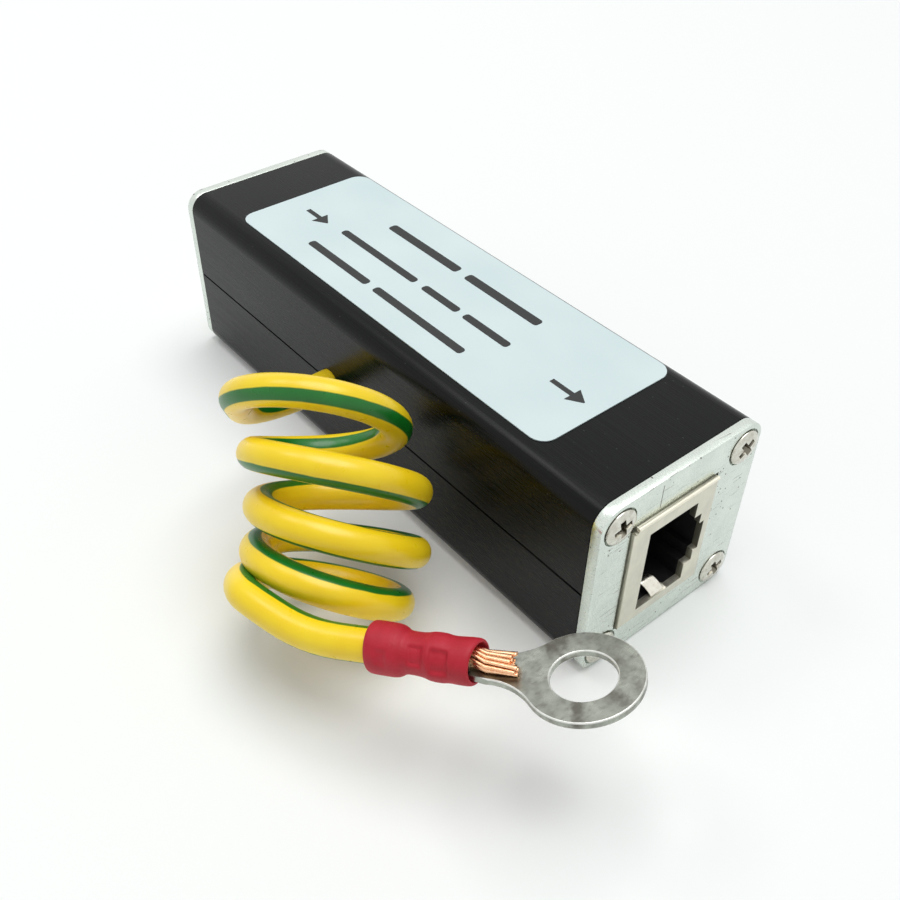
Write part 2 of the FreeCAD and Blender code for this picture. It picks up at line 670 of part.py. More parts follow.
def lead_coil():
    """Closed solid of the coil's outer shape, hollow as the turns are."""
    return coil_body(0).cut(coil_body(LEAD_DIAMETER))


def exit_route():
    """Hand-set points of the lead from the housing to the coil's first turn."""
    return [V(LEAD_EXIT_X, -HOUSING_WIDTH / 2, MIDDLE_Z), *EXIT_POINTS, coil_point(0)]


def tail_route():
    """Hand-set points of the lead from the coil's last turn to the terminal."""
    normal = coil_frame(COIL_TURNS)[-1]
    return [
        coil_point(COIL_LEAVING_TURN) + normal * (LEAD_RADIUS - COIL_FOOT_COVER),
        TAIL_POINT,
        terminal_point(-SLEEVE_END, 0, BARREL_AXIS_Z),
        terminal_point(-BARREL_END, 0, BARREL_AXIS_Z),
    ]


def lead_tube(name, points):
    """Tube along straight runs joined by tangent arcs."""
    edges = []
    start = points[0]
    length = 0
    for before, corner, after in zip(points, points[1:], points[2:]):
        back = (before - corner).normalize()
        ahead = (after - corner).normalize()
        half_turn = (math.pi - back.getAngle(ahead)) / 2
        reach = BEND_SHARE * min((before - corner).Length, (after - corner).Length)
        radius = reach / math.tan(half_turn)
        degrees = round(math.degrees(2 * half_turn))
        print(name, "arc radius", round(radius, 1), "at a turn of", degrees, "degrees")
        entry = corner + back * reach
        leave = corner + ahead * reach
        inward = (back + ahead).normalize()
        middle = corner + inward * (radius / math.cos(half_turn) - radius)
        edges += [Part.LineSegment(start, entry).toShape(), Part.Arc(entry, middle, leave).toShape()]
        length += (entry - start).Length + 2 * radius * half_turn
        start = leave
    edges.append(Part.LineSegment(start, points[-1]).toShape())
    length += (points[-1] - start).Length
    path = Part.Wire(edges)
    section = Part.Wire(Part.makeCircle(LEAD_RADIUS, points[0], points[1] - points[0]))
    tube = path.makePipeShell([section], True, False, 2)
    share = tube.Volume / (math.pi * LEAD_RADIUS ** 2 * length)
    print(name, "length", round(length, 1), "volume share", round(share, 4))
    return tube


def lead_outer():
    return lead_tube("earth_lead_outer", exit_route()).cut(coil_body(0))


def lead_tail():
    return lead_tube("earth_lead_tail", tail_route()).cut(coil_body(0))


def terminal_placement():
    """The terminal's own frame: X out through the ring, Z up through its hole."""
    yaw = FreeCAD.Rotation(V(0, 0, 1), TERMINAL_HEADING)
    pitch = FreeCAD.Rotation(V(0, 1, 0), -TERMINAL_PITCH)
    roll = FreeCAD.Rotation(V(1, 0, 0), TERMINAL_ROLL)
    return FreeCAD.Placement(TERMINAL_PLACE, yaw.multiply(pitch).multiply(roll))


def terminal_point(x, y, z):
    return terminal_placement().multVec(V(x, y, z))


def placed(shape):
    shape.Placement = terminal_placement().multiply(shape.Placement)
    return shape


def terminal_blank():
    """Flat outline: the ring run into a narrow neck by two hollow curves."""
    ring = RING_DIAMETER / 2
    half = NECK_WIDTH / 2
    centre_y = half + NECK_FILLET
    centre_x = -math.sqrt((ring + NECK_FILLET) ** 2 - centre_y ** 2)
    share = ring / (ring + NECK_FILLET)
    touch = V(centre_x * share, centre_y * share, 0)
    neck = V(centre_x, half, 0)
    angle = (math.atan2(touch.y - centre_y, touch.x - centre_x) - math.pi / 2) / 2
    reach = NECK_FILLET * math.cos(angle)
    middle = V(centre_x + reach, centre_y + NECK_FILLET * math.sin(angle), 0)
    far = -BARREL_START - TONGUE_THICKNESS
    lower = [V(point.x, -point.y, 0) for point in (touch, middle, neck)]
    edges = [
        Part.Arc(lower[0], V(ring, 0, 0), touch).toShape(),
        Part.Arc(touch, middle, neck).toShape(),
        Part.makeLine(neck, V(far, half, 0)),
        Part.makeLine(V(far, half, 0), V(far, -half, 0)),
        Part.makeLine(V(far, -half, 0), lower[2]),
        Part.Arc(lower[2], lower[1], lower[0]).toShape(),
    ]
    return Part.Face(Part.Wire(edges))


def ring_terminal():
    """One stamping: ring, neck and the rolled barrel that grips the conductor."""
    blank = terminal_blank().extrude(V(0, 0, TONGUE_THICKNESS))
    barrel = rod(BARREL_OUTER / 2, BARREL_LENGTH, V(-BARREL_END, 0, BARREL_AXIS_Z), V(1, 0, 0))
    hole = rod(RING_HOLE / 2, 3 * TONGUE_THICKNESS, V(0, 0, -TONGUE_THICKNESS), V(0, 0, 1))
    return placed(blank.fuse(barrel).cut([strand_bundle(), hole]).removeSplitter())


def strand_bundle():
    return rod(BARREL_INNER / 2, STRANDS_LENGTH, V(-BARREL_END, 0, BARREL_AXIS_Z), V(1, 0, 0))


def terminal_sleeve():
    """Insulating sleeve over the barrel, flared where the lead goes in."""
    bore = BARREL_OUTER / 2 + SLEEVE_CLEARANCE
    mouth = LEAD_RADIUS + LEAD_CLEARANCE
    outer = bore + SLEEVE_WALL
    flare = mouth + SLEEVE_FLARE_WALL
    waist = -SLEEVE_END + SLEEVE_FLARE_LENGTH
    outline = [
        (-SLEEVE_START, bore), (-SLEEVE_START, outer), (waist, outer),
        (waist - SLEEVE_FLARE_LENGTH / 3, flare), (-SLEEVE_END, flare), (-SLEEVE_END, mouth),
        (-BARREL_END, mouth), (-BARREL_END, bore), (-SLEEVE_START, bore),
    ]
    profile = Part.Face(Part.makePolygon([V(x, 0, z) for x, z in outline]))
    sleeve = profile.revolve(V(0, 0, 0), V(1, 0, 0), 360)
    sleeve.translate(V(0, 0, BARREL_AXIS_Z))
    return placed(sleeve.cut(terminal_blank().extrude(V(0, 0, TONGUE_THICKNESS))))


def lead_strands():
    """Bare conductor through the barrel, standing proud over the tongue."""
    return placed(strand_bundle())


def build():
    nodes = {
        "lower_shell": lower_shell(),
        "upper_shell": upper_shell(),
        "out_end_plate": end_plate(),
        "in_end_plate": turned(end_plate()),
        "out_plate_screws": plate_screws(),
        "in_plate_screws": turned(plate_screws()),
        "label": label(),
        "out_jack_shield": jack_shield(),
        "in_jack_shield": turned(jack_shield()),
        "out_jack_insert": jack_insert(),
        "in_jack_insert": turned(jack_insert()),
        "out_jack_contacts": jack_contacts(),
        "in_jack_contacts": turned(jack_contacts()),
        "circuit_board": circuit_board(),
        "series_resistors": series_resistors(),
        "earth_core": lead_core(),
        "earth_joint": earth_joint(),
        "lead_tie": lead_tie(),
        "earth_lead_inner": lead_inner(),
        "earth_lead_outer": lead_outer(),
        "earth_lead_coil": lead_coil(),
        "earth_lead_tail": lead_tail(),
        "ring_terminal": ring_terminal(),
        "terminal_sleeve": terminal_sleeve(),
        "lead_strands": lead_strands(),
    }
    for index, x in enumerate(bay_places(TUBE_PLACES), 1):
        nodes["gas_tube_%d" % index] = gas_tube(x)
    for index, x in enumerate(bay_places(ARRAY_PLACES), 1):
        nodes["diode_array_%d" % index] = diode_array(x)
    return nodes


for name, shape in build().items():
    shape.exportStep("parts/%s.step" % name)
    print(name, len(shape.Solids), "solids", round(shape.Volume, 2), "mm3", shape.isValid())
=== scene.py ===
import math
import random
import bmesh
import bpy
from mathutils import Matrix, Vector


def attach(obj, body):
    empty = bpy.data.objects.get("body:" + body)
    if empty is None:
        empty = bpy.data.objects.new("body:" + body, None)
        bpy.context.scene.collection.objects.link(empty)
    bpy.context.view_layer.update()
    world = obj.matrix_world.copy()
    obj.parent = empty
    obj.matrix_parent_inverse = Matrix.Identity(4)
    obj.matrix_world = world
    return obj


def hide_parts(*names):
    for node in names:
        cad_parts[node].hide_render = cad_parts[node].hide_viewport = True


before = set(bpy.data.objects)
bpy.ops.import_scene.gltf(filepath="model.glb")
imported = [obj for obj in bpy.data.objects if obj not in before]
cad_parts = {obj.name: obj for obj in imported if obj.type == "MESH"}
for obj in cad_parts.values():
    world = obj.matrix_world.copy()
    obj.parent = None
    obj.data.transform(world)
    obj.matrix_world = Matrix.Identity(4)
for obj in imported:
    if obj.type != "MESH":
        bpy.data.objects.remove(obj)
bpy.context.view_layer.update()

# An ethernet surge protector with a coiled earth lead. Sizes and places are written in
# millimetres and become metres where a piece is made.
mm = 0.001
middleZ = 12.5  # half the housing's height
samePlace = 0.01  # two places nearer than this are the same
bpy.ops.object.select_all(action="DESELECT")
print("frame loaded")


# Camera, floor and light

view = {
    "place": (85.457, -69.241, 96.586),
    "right": (0.63474, 0.77260, 0.01380),
    "up": (-0.52190, 0.41547, 0.74499),
    "back": (0.56984, -0.48008, 0.66694),
    "lens": 41.41,  # on a sensor 36 mm wide
}
studio = {
    "floorSize": 6000,
    "floorColour": (248, 251, 250),
    "floorLift": 0.13,  # share of the floor that the camera sees as plain white
    "skyFill": 0.3,  # how far the white sky lights the object
    "sunStrength": 2.06,
    "sunSpread": 46,
    "sunTurn": (-9, 0, 0),
    "windowPlace": (-253, -163, 484),
    "windowRun": (0.469, -0.883, 0),  # direction of its long side
    "windowSize": (190, 150),
    "windowPower": 0.34,
}


def addCamera():
    data = bpy.data.cameras.new("photoCamera")
    data.sensor_width = 36
    data.lens = view["lens"]
    data.clip_start = 0.005
    camera = bpy.data.objects.new("photoCamera", data)
    bpy.context.scene.collection.objects.link(camera)
    axes = [Vector(view[name]).normalized() for name in ("right", "up", "back")]
    camera.matrix_world = Matrix.Translation(Vector(view["place"]) * mm) @ Matrix(axes).transposed().to_4x4()
    bpy.context.scene.camera = camera


def seenDirectly(tree):
    # 1 for what the camera sees straight, in a mirror or through glass
    path = tree.nodes.new("ShaderNodeLightPath")
    seen = path.outputs["Is Camera Ray"]
    for name in ("Is Glossy Ray", "Is Transmission Ray"):
        seen = calculate(tree, "MAXIMUM", seen, path.outputs[name])
    return seen


def addSky():
    world = bpy.data.worlds.new("studioSky")
    bpy.context.scene.world = world
    world.use_nodes = True
    tree = world.node_tree
    level = between(tree, seenDirectly(tree), studio["skyFill"], 1)
    feed(tree, tree.nodes["Background"], {"Color": (1, 1, 1, 1), "Strength": level})


def addSun():
    data = bpy.data.lights.new("softSun", "SUN")
    data.energy = studio["sunStrength"]
    data.angle = math.radians(studio["sunSpread"])
    sun = bpy.data.objects.new("softSun", data)
    bpy.context.scene.collection.objects.link(sun)
    sun.rotation_euler = [math.radians(angle) for angle in studio["sunTurn"]]


def addWindow():
    # a small soft light on the left, which draws the gleam along the housing's rounded edge
    data = bpy.data.lights.new("softWindow", "AREA")
    data.shape = "RECTANGLE"
    data.size, data.size_y = [size * mm for size in studio["windowSize"]]
    data.energy = studio["windowPower"]
    window = bpy.data.objects.new("softWindow", data)
    bpy.context.scene.collection.objects.link(window)
    window.visible_camera = False
    place = Vector(studio["windowPlace"]) * mm
    away = (place - Vector((0, 0, middleZ * mm))).normalized()
    side = away.cross(Vector(studio["windowRun"])).normalized()
    turn = Matrix((side.cross(away), side, away)).transposed().to_4x4()
    window.matrix_world = Matrix.Translation(place) @ turn


def addFloor():
    bpy.ops.mesh.primitive_plane_add(size=studio["floorSize"] * mm)
    floor = bpy.context.object
    floor.name = "floor"
    paint = bpy.data.materials.new("paleFloor")
    paint.use_nodes = True
    tree = paint.node_tree
    shader = tree.nodes["Principled BSDF"]
    feed(tree, shader, {"Base Color": colour(studio["floorColour"]), "Roughness": 0.9, "Specular IOR Level": 0.1})
    white = tree.nodes.new("ShaderNodeEmission")
    lift = calculate(tree, "MULTIPLY", seenDirectly(tree), studio["floorLift"])
    blend = addNode(tree, "ShaderNodeMixShader", {0: lift, 1: shader.outputs["BSDF"], 2: white.outputs["Emission"]})
    feed(tree, tree.nodes["Material Output"], {"Surface": blend.outputs["Shader"]})
    floor.data.materials.append(paint)
    bpy.ops.object.select_all(action="DESELECT")


# Materials

cellsPerMetre = 1000  # so that a stretch of 1 is one cell a millimetre


def colour(levels):
    # screen levels from 0 to 255, as a linear colour
    linear = []
    for level in levels:
        share = level / 255
        linear.append(share / 12.92 if share <= 0.04045 else ((share + 0.055) / 1.055) ** 2.4)
    return (*linear, 1)


def feed(tree, node, values):
    # links the outputs of other nodes to the node's sockets, and sets plain values
    for name, value in values.items():
        if isinstance(value, bpy.types.NodeSocket):
            tree.links.new(value, node.inputs[name])
        else:
            node.inputs[name].default_value = value


def addNode(tree, kind, values, **settings):
    node = tree.nodes.new(kind)
    for name, value in settings.items():
        setattr(node, name, value)
    feed(tree, node, values)
    return node


def calculate(tree, operation, *values):
    return addNode(tree, "ShaderNodeMath", dict(enumerate(values)), operation=operation).outputs[0]


def between(tree, share, low, high, start=0, end=1):
    # a share that runs from start to end, as a level from low to high
    return addNode(tree, "ShaderNodeMapRange", {
        "Value": share, "From Min": start, "From Max": end, "To Min": low, "To Max": high}).outputs["Result"]


def addGroup(name, inputs):
    group = bpy.data.node_groups.new(name, "ShaderNodeTree")
    group.interface.new_socket(name="Vector", in_out="INPUT", socket_type="NodeSocketVector")
    for label, value in inputs.items():
        kind = "NodeSocketVector" if isinstance(value, tuple) else "NodeSocketFloat"
        group.interface.new_socket(name=label, in_out="INPUT", socket_type=kind).default_value = value
    group.interface.new_socket(name="Mask", in_out="OUTPUT", socket_type="NodeSocketFloat")
    return group, group.nodes.new("NodeGroupInput").outputs, group.nodes.new("NodeGroupOutput")


def stretched(group, given):
    # the place, with each axis multiplied by the group's stretch
    return addNode(group, "ShaderNodeVectorMath", {0: given["Vector"], 1: given["Stretch"]},
                   operation="MULTIPLY").outputs["Vector"]


def addNoiseGroup():
    # soft noise, stretched along any axis, as a mask between two levels
    group, given, end = addGroup("stretchedNoise", {"Stretch": (1, 1, 1), "Detail": 3, "Low": 0.3, "High": 0.7})
    cells = addNode(group, "ShaderNodeTexNoise", {
        "Vector": stretched(group, given), "Scale": cellsPerMetre, "Detail": given["Detail"]})
    feed(group, end, {"Mask": between(group, cells.outputs["Fac"], 0, 1, given["Low"], given["High"])})


def addFleckGroup():
    # small scattered spots, 1 inside a spot
    group, given, end = addGroup("scatteredFlecks", {"Stretch": (1, 1, 1), "Size": 0.1})
    cells = addNode(group, "ShaderNodeTexVoronoi", {"Vector": stretched(group, given), "Scale": cellsPerMetre})
    feed(group, end, {"Mask": calculate(group, "LESS_THAN", cells.outputs["Distance"], given["Size"])})


def addEdgeHighlightGroup():
    # how strongly a painted highlight lies on a piece's marked edges, broken up a little
    group, given, end = addGroup("paintedEdgeHighlight", {"Edge": 0, "Amount": 0.8})
    patches = addNode(group, "ShaderNodeTexNoise", {"Vector": given["Vector"], "Scale": 900})
    share = between(group, patches.outputs["Fac"], 0.55, 1, 0.25, 0.6)
    edgeGleam = calculate(group, "MULTIPLY", share, given["Edge"])
    feed(group, end, {"Mask": calculate(group, "MULTIPLY", edgeGleam, given["Amount"])})


def startMaterial(name):
    paint = bpy.data.materials.new(name)
    paint.use_nodes = True
    tree = paint.node_tree
    return paint, tree, tree.nodes.new("ShaderNodeTexCoord").outputs["Object"]


def finishMaterial(paint, values):
    feed(paint.node_tree, paint.node_tree.nodes["Principled BSDF"], values)
    return paint


def mask(tree, group, where, values):
    return addNode(tree, "ShaderNodeGroup", {"Vector": where, **values},
                   node_tree=bpy.data.node_groups[group]).outputs["Mask"]


def noise(tree, where, stretch, detail, low=0.3, high=0.7):
    # the stretch is one number, or one for each axis
    if not isinstance(stretch, tuple):
        stretch = (stretch,) * 3
    return mask(tree, "stretchedNoise", where, {"Stretch": stretch, "Detail": detail, "Low": low, "High": high})


def faceMark(tree, name):
    return addNode(tree, "ShaderNodeAttribute", {}, attribute_name=name).outputs["Fac"]


def blendColours(tree, share, first, second, amount=1):
    # each colour is the output of another node or three screen levels
    if amount != 1:
        share = calculate(tree, "MULTIPLY", share, amount)
    first, second = [colour(value) if isinstance(value, tuple) else value for value in (first, second)]
    return addNode(tree, "ShaderNodeMix", {0: share, 6: first, 7: second}, data_type="RGBA").outputs[2]


def paintEdgeHighlight(tree, where, base, bright, amount):
    # the base colour with a painted highlight on the piece's marked edges, and how strong that painted highlight is at
    # each place
    edgeGleam = mask(tree, "paintedEdgeHighlight", where, {"Edge": faceMark(tree, "edge"), "Amount": amount})
    return blendColours(tree, edgeGleam, base, bright), edgeGleam


def dent(tree, height, strength, depth):
    # bump from a height mask, its depth in millimetres
    return addNode(tree, "ShaderNodeBump", {
        "Strength": strength, "Distance": depth * mm, "Height": height}).outputs["Normal"]


def zone(tree, where, middle, reach):
    # 1 inside a box, given in millimetres, and 0 outside
    parts = addNode(tree, "ShaderNodeSeparateXYZ", {"Vector": where})
    inside = 1
    for axis, place, half in zip("XYZ", middle, reach):
        within = calculate(tree, "COMPARE", parts.outputs[axis], place * mm, half * mm)
        inside = calculate(tree, "MULTIPLY", inside, within)
    return inside


def makeBlackAnodised():
    paint, tree, where = startMaterial("blackAnodised")
    lines = noise(tree, where, (0.05, 7, 7), 4, high=0.75)
    cloud = noise(tree, where, (0.04, 0.12, 0.12), 2)
    flecks = mask(tree, "scatteredFlecks", where, {"Stretch": (0.5, 1.3, 1.3), "Size": 0.06})
    base = blendColours(tree, lines, (4, 5, 5), (12, 14, 14))
    base = blendColours(tree, flecks, base, (110, 114, 114), 0.25)
    rough = calculate(tree, "ADD", between(tree, lines, 0.22, 0.34), between(tree, cloud, -0.03, 0.04))
    return finishMaterial(paint, {
        "Base Color": base, "IOR": 1.25, "Roughness": rough, "Normal": dent(tree, lines, 0.16, 0.02)})


def makeBareAluminium():
    paint, tree, where = startMaterial("bareAluminium")
    grain = noise(tree, where, (3, 9, 1.2), 4, 0.25, 0.8)
    cloud = noise(tree, where, 0.3, 4)
    scratch = noise(tree, where, (2, 0.25, 6), 5, 0.64, 0.7)
    pits = mask(tree, "scatteredFlecks", where, {"Stretch": (0.6, 0.8, 0.8), "Size": 0.09})
    base = blendColours(tree, grain, (208, 217, 209), (228, 235, 227))
    base = blendColours(tree, cloud, base, (196, 204, 197), 0.5)
    base = blendColours(tree, scratch, base, (150, 152, 148))
    base = blendColours(tree, pits, base, (110, 108, 102))
    # dark spots to the right of the socket, and one thin upright nick above it
    nicks = mask(tree, "scatteredFlecks", where, {"Stretch": (1.2, 1.5, 1.5), "Size": 0.17})
    nicks = calculate(tree, "MULTIPLY", nicks, zone(tree, where, (41.4, 7.1, 17), (0.6, 1.1, 4)))
    nick = zone(tree, where, (41.4, -3.6, 22.7), (0.6, 0.06, 1.6))
    base = blendColours(tree, calculate(tree, "MAXIMUM", nicks, nick), base, (96, 96, 90))
    height = calculate(tree, "SUBTRACT", calculate(tree, "MULTIPLY", grain, 0.3), scratch)
    return finishMaterial(paint, {
        "Base Color": base, "Metallic": 1, "Roughness": between(tree, grain, 0.22, 0.32),
        "Normal": dent(tree, height, 0.3, 0.03)})


def makeNickel():
    # the cross recess is darker: painted shade
    paint, tree, where = startMaterial("nickelSteel")
    cloud = noise(tree, where, 1.5, 4)
    base = blendColours(tree, cloud, (222, 222, 212), (190, 186, 174))
    # painted shade on the recess walls
    base = blendColours(tree, faceMark(tree, "recess"), base, (126, 122, 110))
    return finishMaterial(paint, {
        "Base Color": base, "Metallic": 1, "Roughness": between(tree, cloud, 0.2, 0.34),
        "Normal": dent(tree, cloud, 0.15, 0.02)})


def makeJackSheet():
    # painted shade darkens the side faces at the front, and a painted highlight lightens the rounded edges
    paint, tree, where = startMaterial("jackSheet")
    grain = noise(tree, where, (2, 4, 0.4), 4)
    cloud = noise(tree, where, 0.4, 3)
    base = blendColours(tree, cloud, (222, 219, 202), (206, 204, 190))
    # painted highlight on the rounded edges, with less metal there
    base, edgeGleam = paintEdgeHighlight(tree, where, base, (240, 237, 224), 0.35)
    # painted shade on the side faces at the front
    base = blendColours(tree, faceMark(tree, "wall"), base, (124, 122, 104), 0.7)
    return finishMaterial(paint, {
        "Base Color": base, "Metallic": between(tree, edgeGleam, 0.85, 0.4), "Roughness": between(tree, grain, 0.3, 0.46),
        "Normal": dent(tree, grain, 0.12, 0.02)})


def makeLabelFilm():
    paint, tree, where = startMaterial("labelFilm")
    cloud = noise(tree, where, (0.06, 0.08, 0.08), 2)
    fibres = noise(tree, where, 4, 3)
    return finishMaterial(paint, {
        "Base Color": blendColours(tree, cloud, (207, 224, 226), (216, 231, 232)), "Roughness": 0.6,
        "Specular IOR Level": 0.3, "Normal": dent(tree, fibres, 0.08, 0.01)})


def makeLeadVinyl():
    # the stripes run along the lead: the curve's own map goes once round it across V
    paint, tree, where = startMaterial("leadVinyl")
    along = addNode(tree, "ShaderNodeSeparateXYZ", {"Vector": where.node.outputs["UV"]})
    waver = noise(tree, where, 0.3, 2)
    turn = calculate(tree, "MULTIPLY_ADD", waver, leadLook["stripeWaver"], along.outputs["Y"])
    phase = calculate(tree, "FRACT", calculate(tree, "MULTIPLY", turn, 2))
    aside = calculate(tree, "ABSOLUTE", calculate(tree, "SUBTRACT", phase, 0.5))
    rim = 0.5 - leadLook["stripeWidth"] / 180 / 2
    stripe = between(tree, aside, 0, 1, rim - leadLook["stripeBlur"], rim + leadLook["stripeBlur"])
    cloud = noise(tree, where, 0.25, 3)
    yellow = blendColours(tree, cloud, (250, 213, 26), (254, 222, 36))
    green = blendColours(tree, cloud, (12, 104, 28), (20, 118, 36))
    soft = noise(tree, where, 0.8, 2)
    return finishMaterial(paint, {
        "Base Color": blendColours(tree, stripe, yellow, green), "Roughness": between(tree, soft, 0.27, 0.34)})


def makeTinnedCopper():
    paint, tree, where = startMaterial("tinnedCopper")
    cloud = noise(tree, where, 0.55, 5, 0.35, 0.68)
    stains = noise(tree, where, 0.28, 6, 0.54, 0.64)
    streaks = noise(tree, where, (2.2, 1.2, 1), 6, 0.5, 0.75)
    base = blendColours(tree, cloud, (174, 178, 168), (136, 138, 130))
    base = blendColours(tree, stains, base, (84, 78, 70), 0.7)
    base = blendColours(tree, streaks, base, (100, 98, 90), 0.5)
    # painted highlight on the ring's rounded rims, with less metal there
    base, edgeGleam = paintEdgeHighlight(tree, where, base, (240, 241, 236), 0.75)
    return finishMaterial(paint, {
        "Base Color": base, "Metallic": between(tree, edgeGleam, 1, 0.5), "Roughness": between(tree, cloud, 0.24, 0.38),
        "Normal": dent(tree, cloud, 0.2, 0.03)})


def makeSleeveVinyl():
    paint, tree, where = startMaterial("sleeveVinyl")
    cloud = noise(tree, where, 0.5, 4)
    fine = noise(tree, where, 6, 4)
    return finishMaterial(paint, {
        "Base Color": blendColours(tree, cloud, (172, 22, 40), (186, 32, 52)), "Specular IOR Level": 0.4,
        "Roughness": between(tree, fine, 0.5, 0.62), "Normal": dent(tree, fine, 0.35, 0.03)})


def makePlain(name, dark, light, rough, metallic=0, size=1):
    # a finish with soft patches between two tones, for the small and the inner pieces
    paint, tree, where = startMaterial(name)
    cloud = noise(tree, where, size, 4)
    return finishMaterial(paint, {
        "Base Color": blendColours(tree, cloud, dark, light), "Metallic": metallic,
        "Roughness": between(tree, cloud, rough - 0.06, rough + 0.06), "Normal": dent(tree, cloud, 0.15, 0.02)})


def dress(nodeName, paint):
    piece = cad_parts[nodeName]
    if not piece.material_slots:
        piece.data.materials.append(paint)
    for slot in piece.material_slots:
        slot.material = paint


def finishPiece(piece, paint, slotName, *replaced):
    # the piece gets its finish, rides with the part and stands for its plain solids
    if not piece.data.materials:
        piece.data.materials.append(paint)
    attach(piece, "root")
    if replaced:
        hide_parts(*replaced)
    bpy.ops.object.select_all(action="DESELECT")
    return piece


# Modelling helpers

def editAll():
    bpy.ops.object.mode_set(mode="EDIT")
    bpy.ops.mesh.select_all(action="SELECT")


def selectWhere(test):
    # only the vertices whose place, in millimetres, passes the test
    bpy.ops.mesh.select_mode(type="VERT")
    bpy.ops.mesh.select_all(action="DESELECT")
    mesh = bmesh.from_edit_mesh(bpy.context.object.data)
    for vertex in mesh.verts:
        vertex.select = test(*(vertex.co / mm))
    mesh.select_flush(True)
    bmesh.update_edit_mesh(bpy.context.object.data)


def closeUp():
    bpy.ops.mesh.select_all(action="SELECT")
    bpy.ops.mesh.remove_doubles(threshold=0.001 * mm)
    bpy.ops.mesh.normals_make_consistent(inside=False)
    bpy.ops.object.mode_set(mode="OBJECT")


def applyModifier(piece, kind, **settings):
    modifier = piece.modifiers.new(kind.lower(), kind)
    for name, value in settings.items():
        setattr(modifier, name, value)
    bpy.ops.object.modifier_apply(modifier=modifier.name)


def extrude(*step):
    # draws the chosen faces out by a step in millimetres
    bpy.ops.mesh.extrude_region_move(TRANSFORM_OT_translate={"value": [part * mm for part in step]})


def takeAlone(piece):
    bpy.ops.object.select_all(action="DESELECT")
    piece.select_set(True)
    bpy.context.view_layer.objects.active = piece


def rename(piece, name):
    piece.name = name
    piece.data.name = name
    return piece


def settle(piece, matrix):
    # the piece goes to its place, and its place goes into its mesh
    takeAlone(piece)
    piece.matrix_world = matrix
    bpy.ops.object.transform_apply()


def joinAll(pieces):
    # makes one piece of several, under the first one's name
    bpy.ops.object.select_all(action="DESELECT")
    for piece in pieces:
        piece.select_set(True)
    bpy.context.view_layer.objects.active = pieces[0]
    bpy.ops.object.join()
    return pieces[0]


def copyPiece(piece, name):
    twin = piece.copy()
    twin.data = piece.data.copy()
    bpy.context.scene.collection.objects.link(twin)
    return rename(twin, name)


def loftAlongX(name, sides, rings, closed):
    # rings of (x, radius) round the X axis; a closed form has flat ends
    start, radius = rings[0]
    bpy.ops.mesh.primitive_circle_add(vertices=sides, radius=radius * mm, location=(start * mm, 0, 0),
                                      rotation=(0, math.pi / 2, 0), fill_type="NGON" if closed else "NOTHING")
    piece = rename(bpy.context.object, name)
    bpy.ops.object.transform_apply()
    editAll()
    for (before, smaller), (after, larger) in zip(rings, rings[1:]):
        extrude(after - before, 0, 0)
        if larger != smaller:
            size = larger / smaller
            bpy.ops.transform.resize(value=(size, size, size), center_override=(after * mm, 0, 0))
    return piece


def copyOfNode(nodeName, name):
    # a copy of a plain solid, with its triangles merged into whole faces
    piece = bpy.data.objects.new(name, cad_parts[nodeName].data.copy())
    bpy.context.scene.collection.objects.link(piece)
    rename(piece, name).data.materials.clear()
    takeAlone(piece)
    editAll()
    bpy.ops.mesh.remove_doubles(threshold=0.002 * mm)
    bpy.ops.mesh.dissolve_limited(angle_limit=math.radians(0.5))
    bpy.ops.object.mode_set(mode="OBJECT")
    return piece


def markFaces(piece, name, test):
    # a number on each face for the material to read, 1 where the test holds
    marks = piece.data.attributes.new(name, "FLOAT", "FACE")
    for face, mark in zip(piece.data.polygons, marks.data):
        mark.value = 1 if test(face) else 0


def facing(face):
    return tuple(round(value, 2) for value in face.normal)


def soften(piece, width, segments, angle=30):
    # rounds the piece's edges, and marks the faces that this makes
    takeAlone(piece)
    flat = {facing(face) for face in piece.data.polygons}
    applyModifier(piece, "BEVEL", width=width * mm, segments=segments, limit_method="ANGLE",
                  angle_limit=math.radians(angle), harden_normals=False)
    markFaces(piece, "edge", lambda face: facing(face) not in flat)
    bpy.ops.object.shade_smooth_by_angle(angle=math.radians(angle))


# Earth lead

leadLook = {
    "diameter": 3.7,
    "exit": (-6.5, -12.5, 12.5),
    "exitPoints": [(-6.5, -19.0, 12.5), (-5.2, -26.0, 15.2)],
    "tailPoint": (26.3, -38.0, 12.4),
    "pointsPerTurn": 24,
    "lastTurn": 4.12,
    "stripeWidth": 46,  # degrees round the lead, for each of the two green stripes
    "stripeBlur": 0.012,
    "stripeWaver": 0.008,
}
# the coil's middle, radius and lean follow s, which goes from -1 at its start to 1 at its foot
coil = {
    "spanTurns": 4.0,
    "middle": (15.1, -26.0, 13.8),
    "run": (5.0, -4.2, -10.6),
    "bow": (-2.9, -1.8, 1.2),
    "hook": (2.3, -0.7, 3.1),
    "radius": 8.98,
    "endShrink": 0.95,
    "footGrow": 0.4,
    "heading": 50.6,
    "lean": 39.7,
    "leanRun": -9.2,
    "leanBow": 8.1,
    "roll": -6.7,
    "rollRun": -10.1,
    "phase": -3.7,
    # turn, and the stripe's angle there from the coil's outside towards its foot
    "stripeTurns": [
        (-1, 29), (0.3, 29), (0.75, 24), (1.25, 60), (1.75, 72), (2.25, 73), (2.75, 95), (3.25, 114), (3.75, 101),
        (4.1, 87), (5, 87),
    ],
}
terminal = {
    "place": (50.0, -22.6, 17.0),
    "heading": 34,
    "pitch": 13,
    "roll": -6,
    "barrelAxis": 1.8,
    "barrelEnd": -16.8,
    "sleeveEnd": -21.1,
}


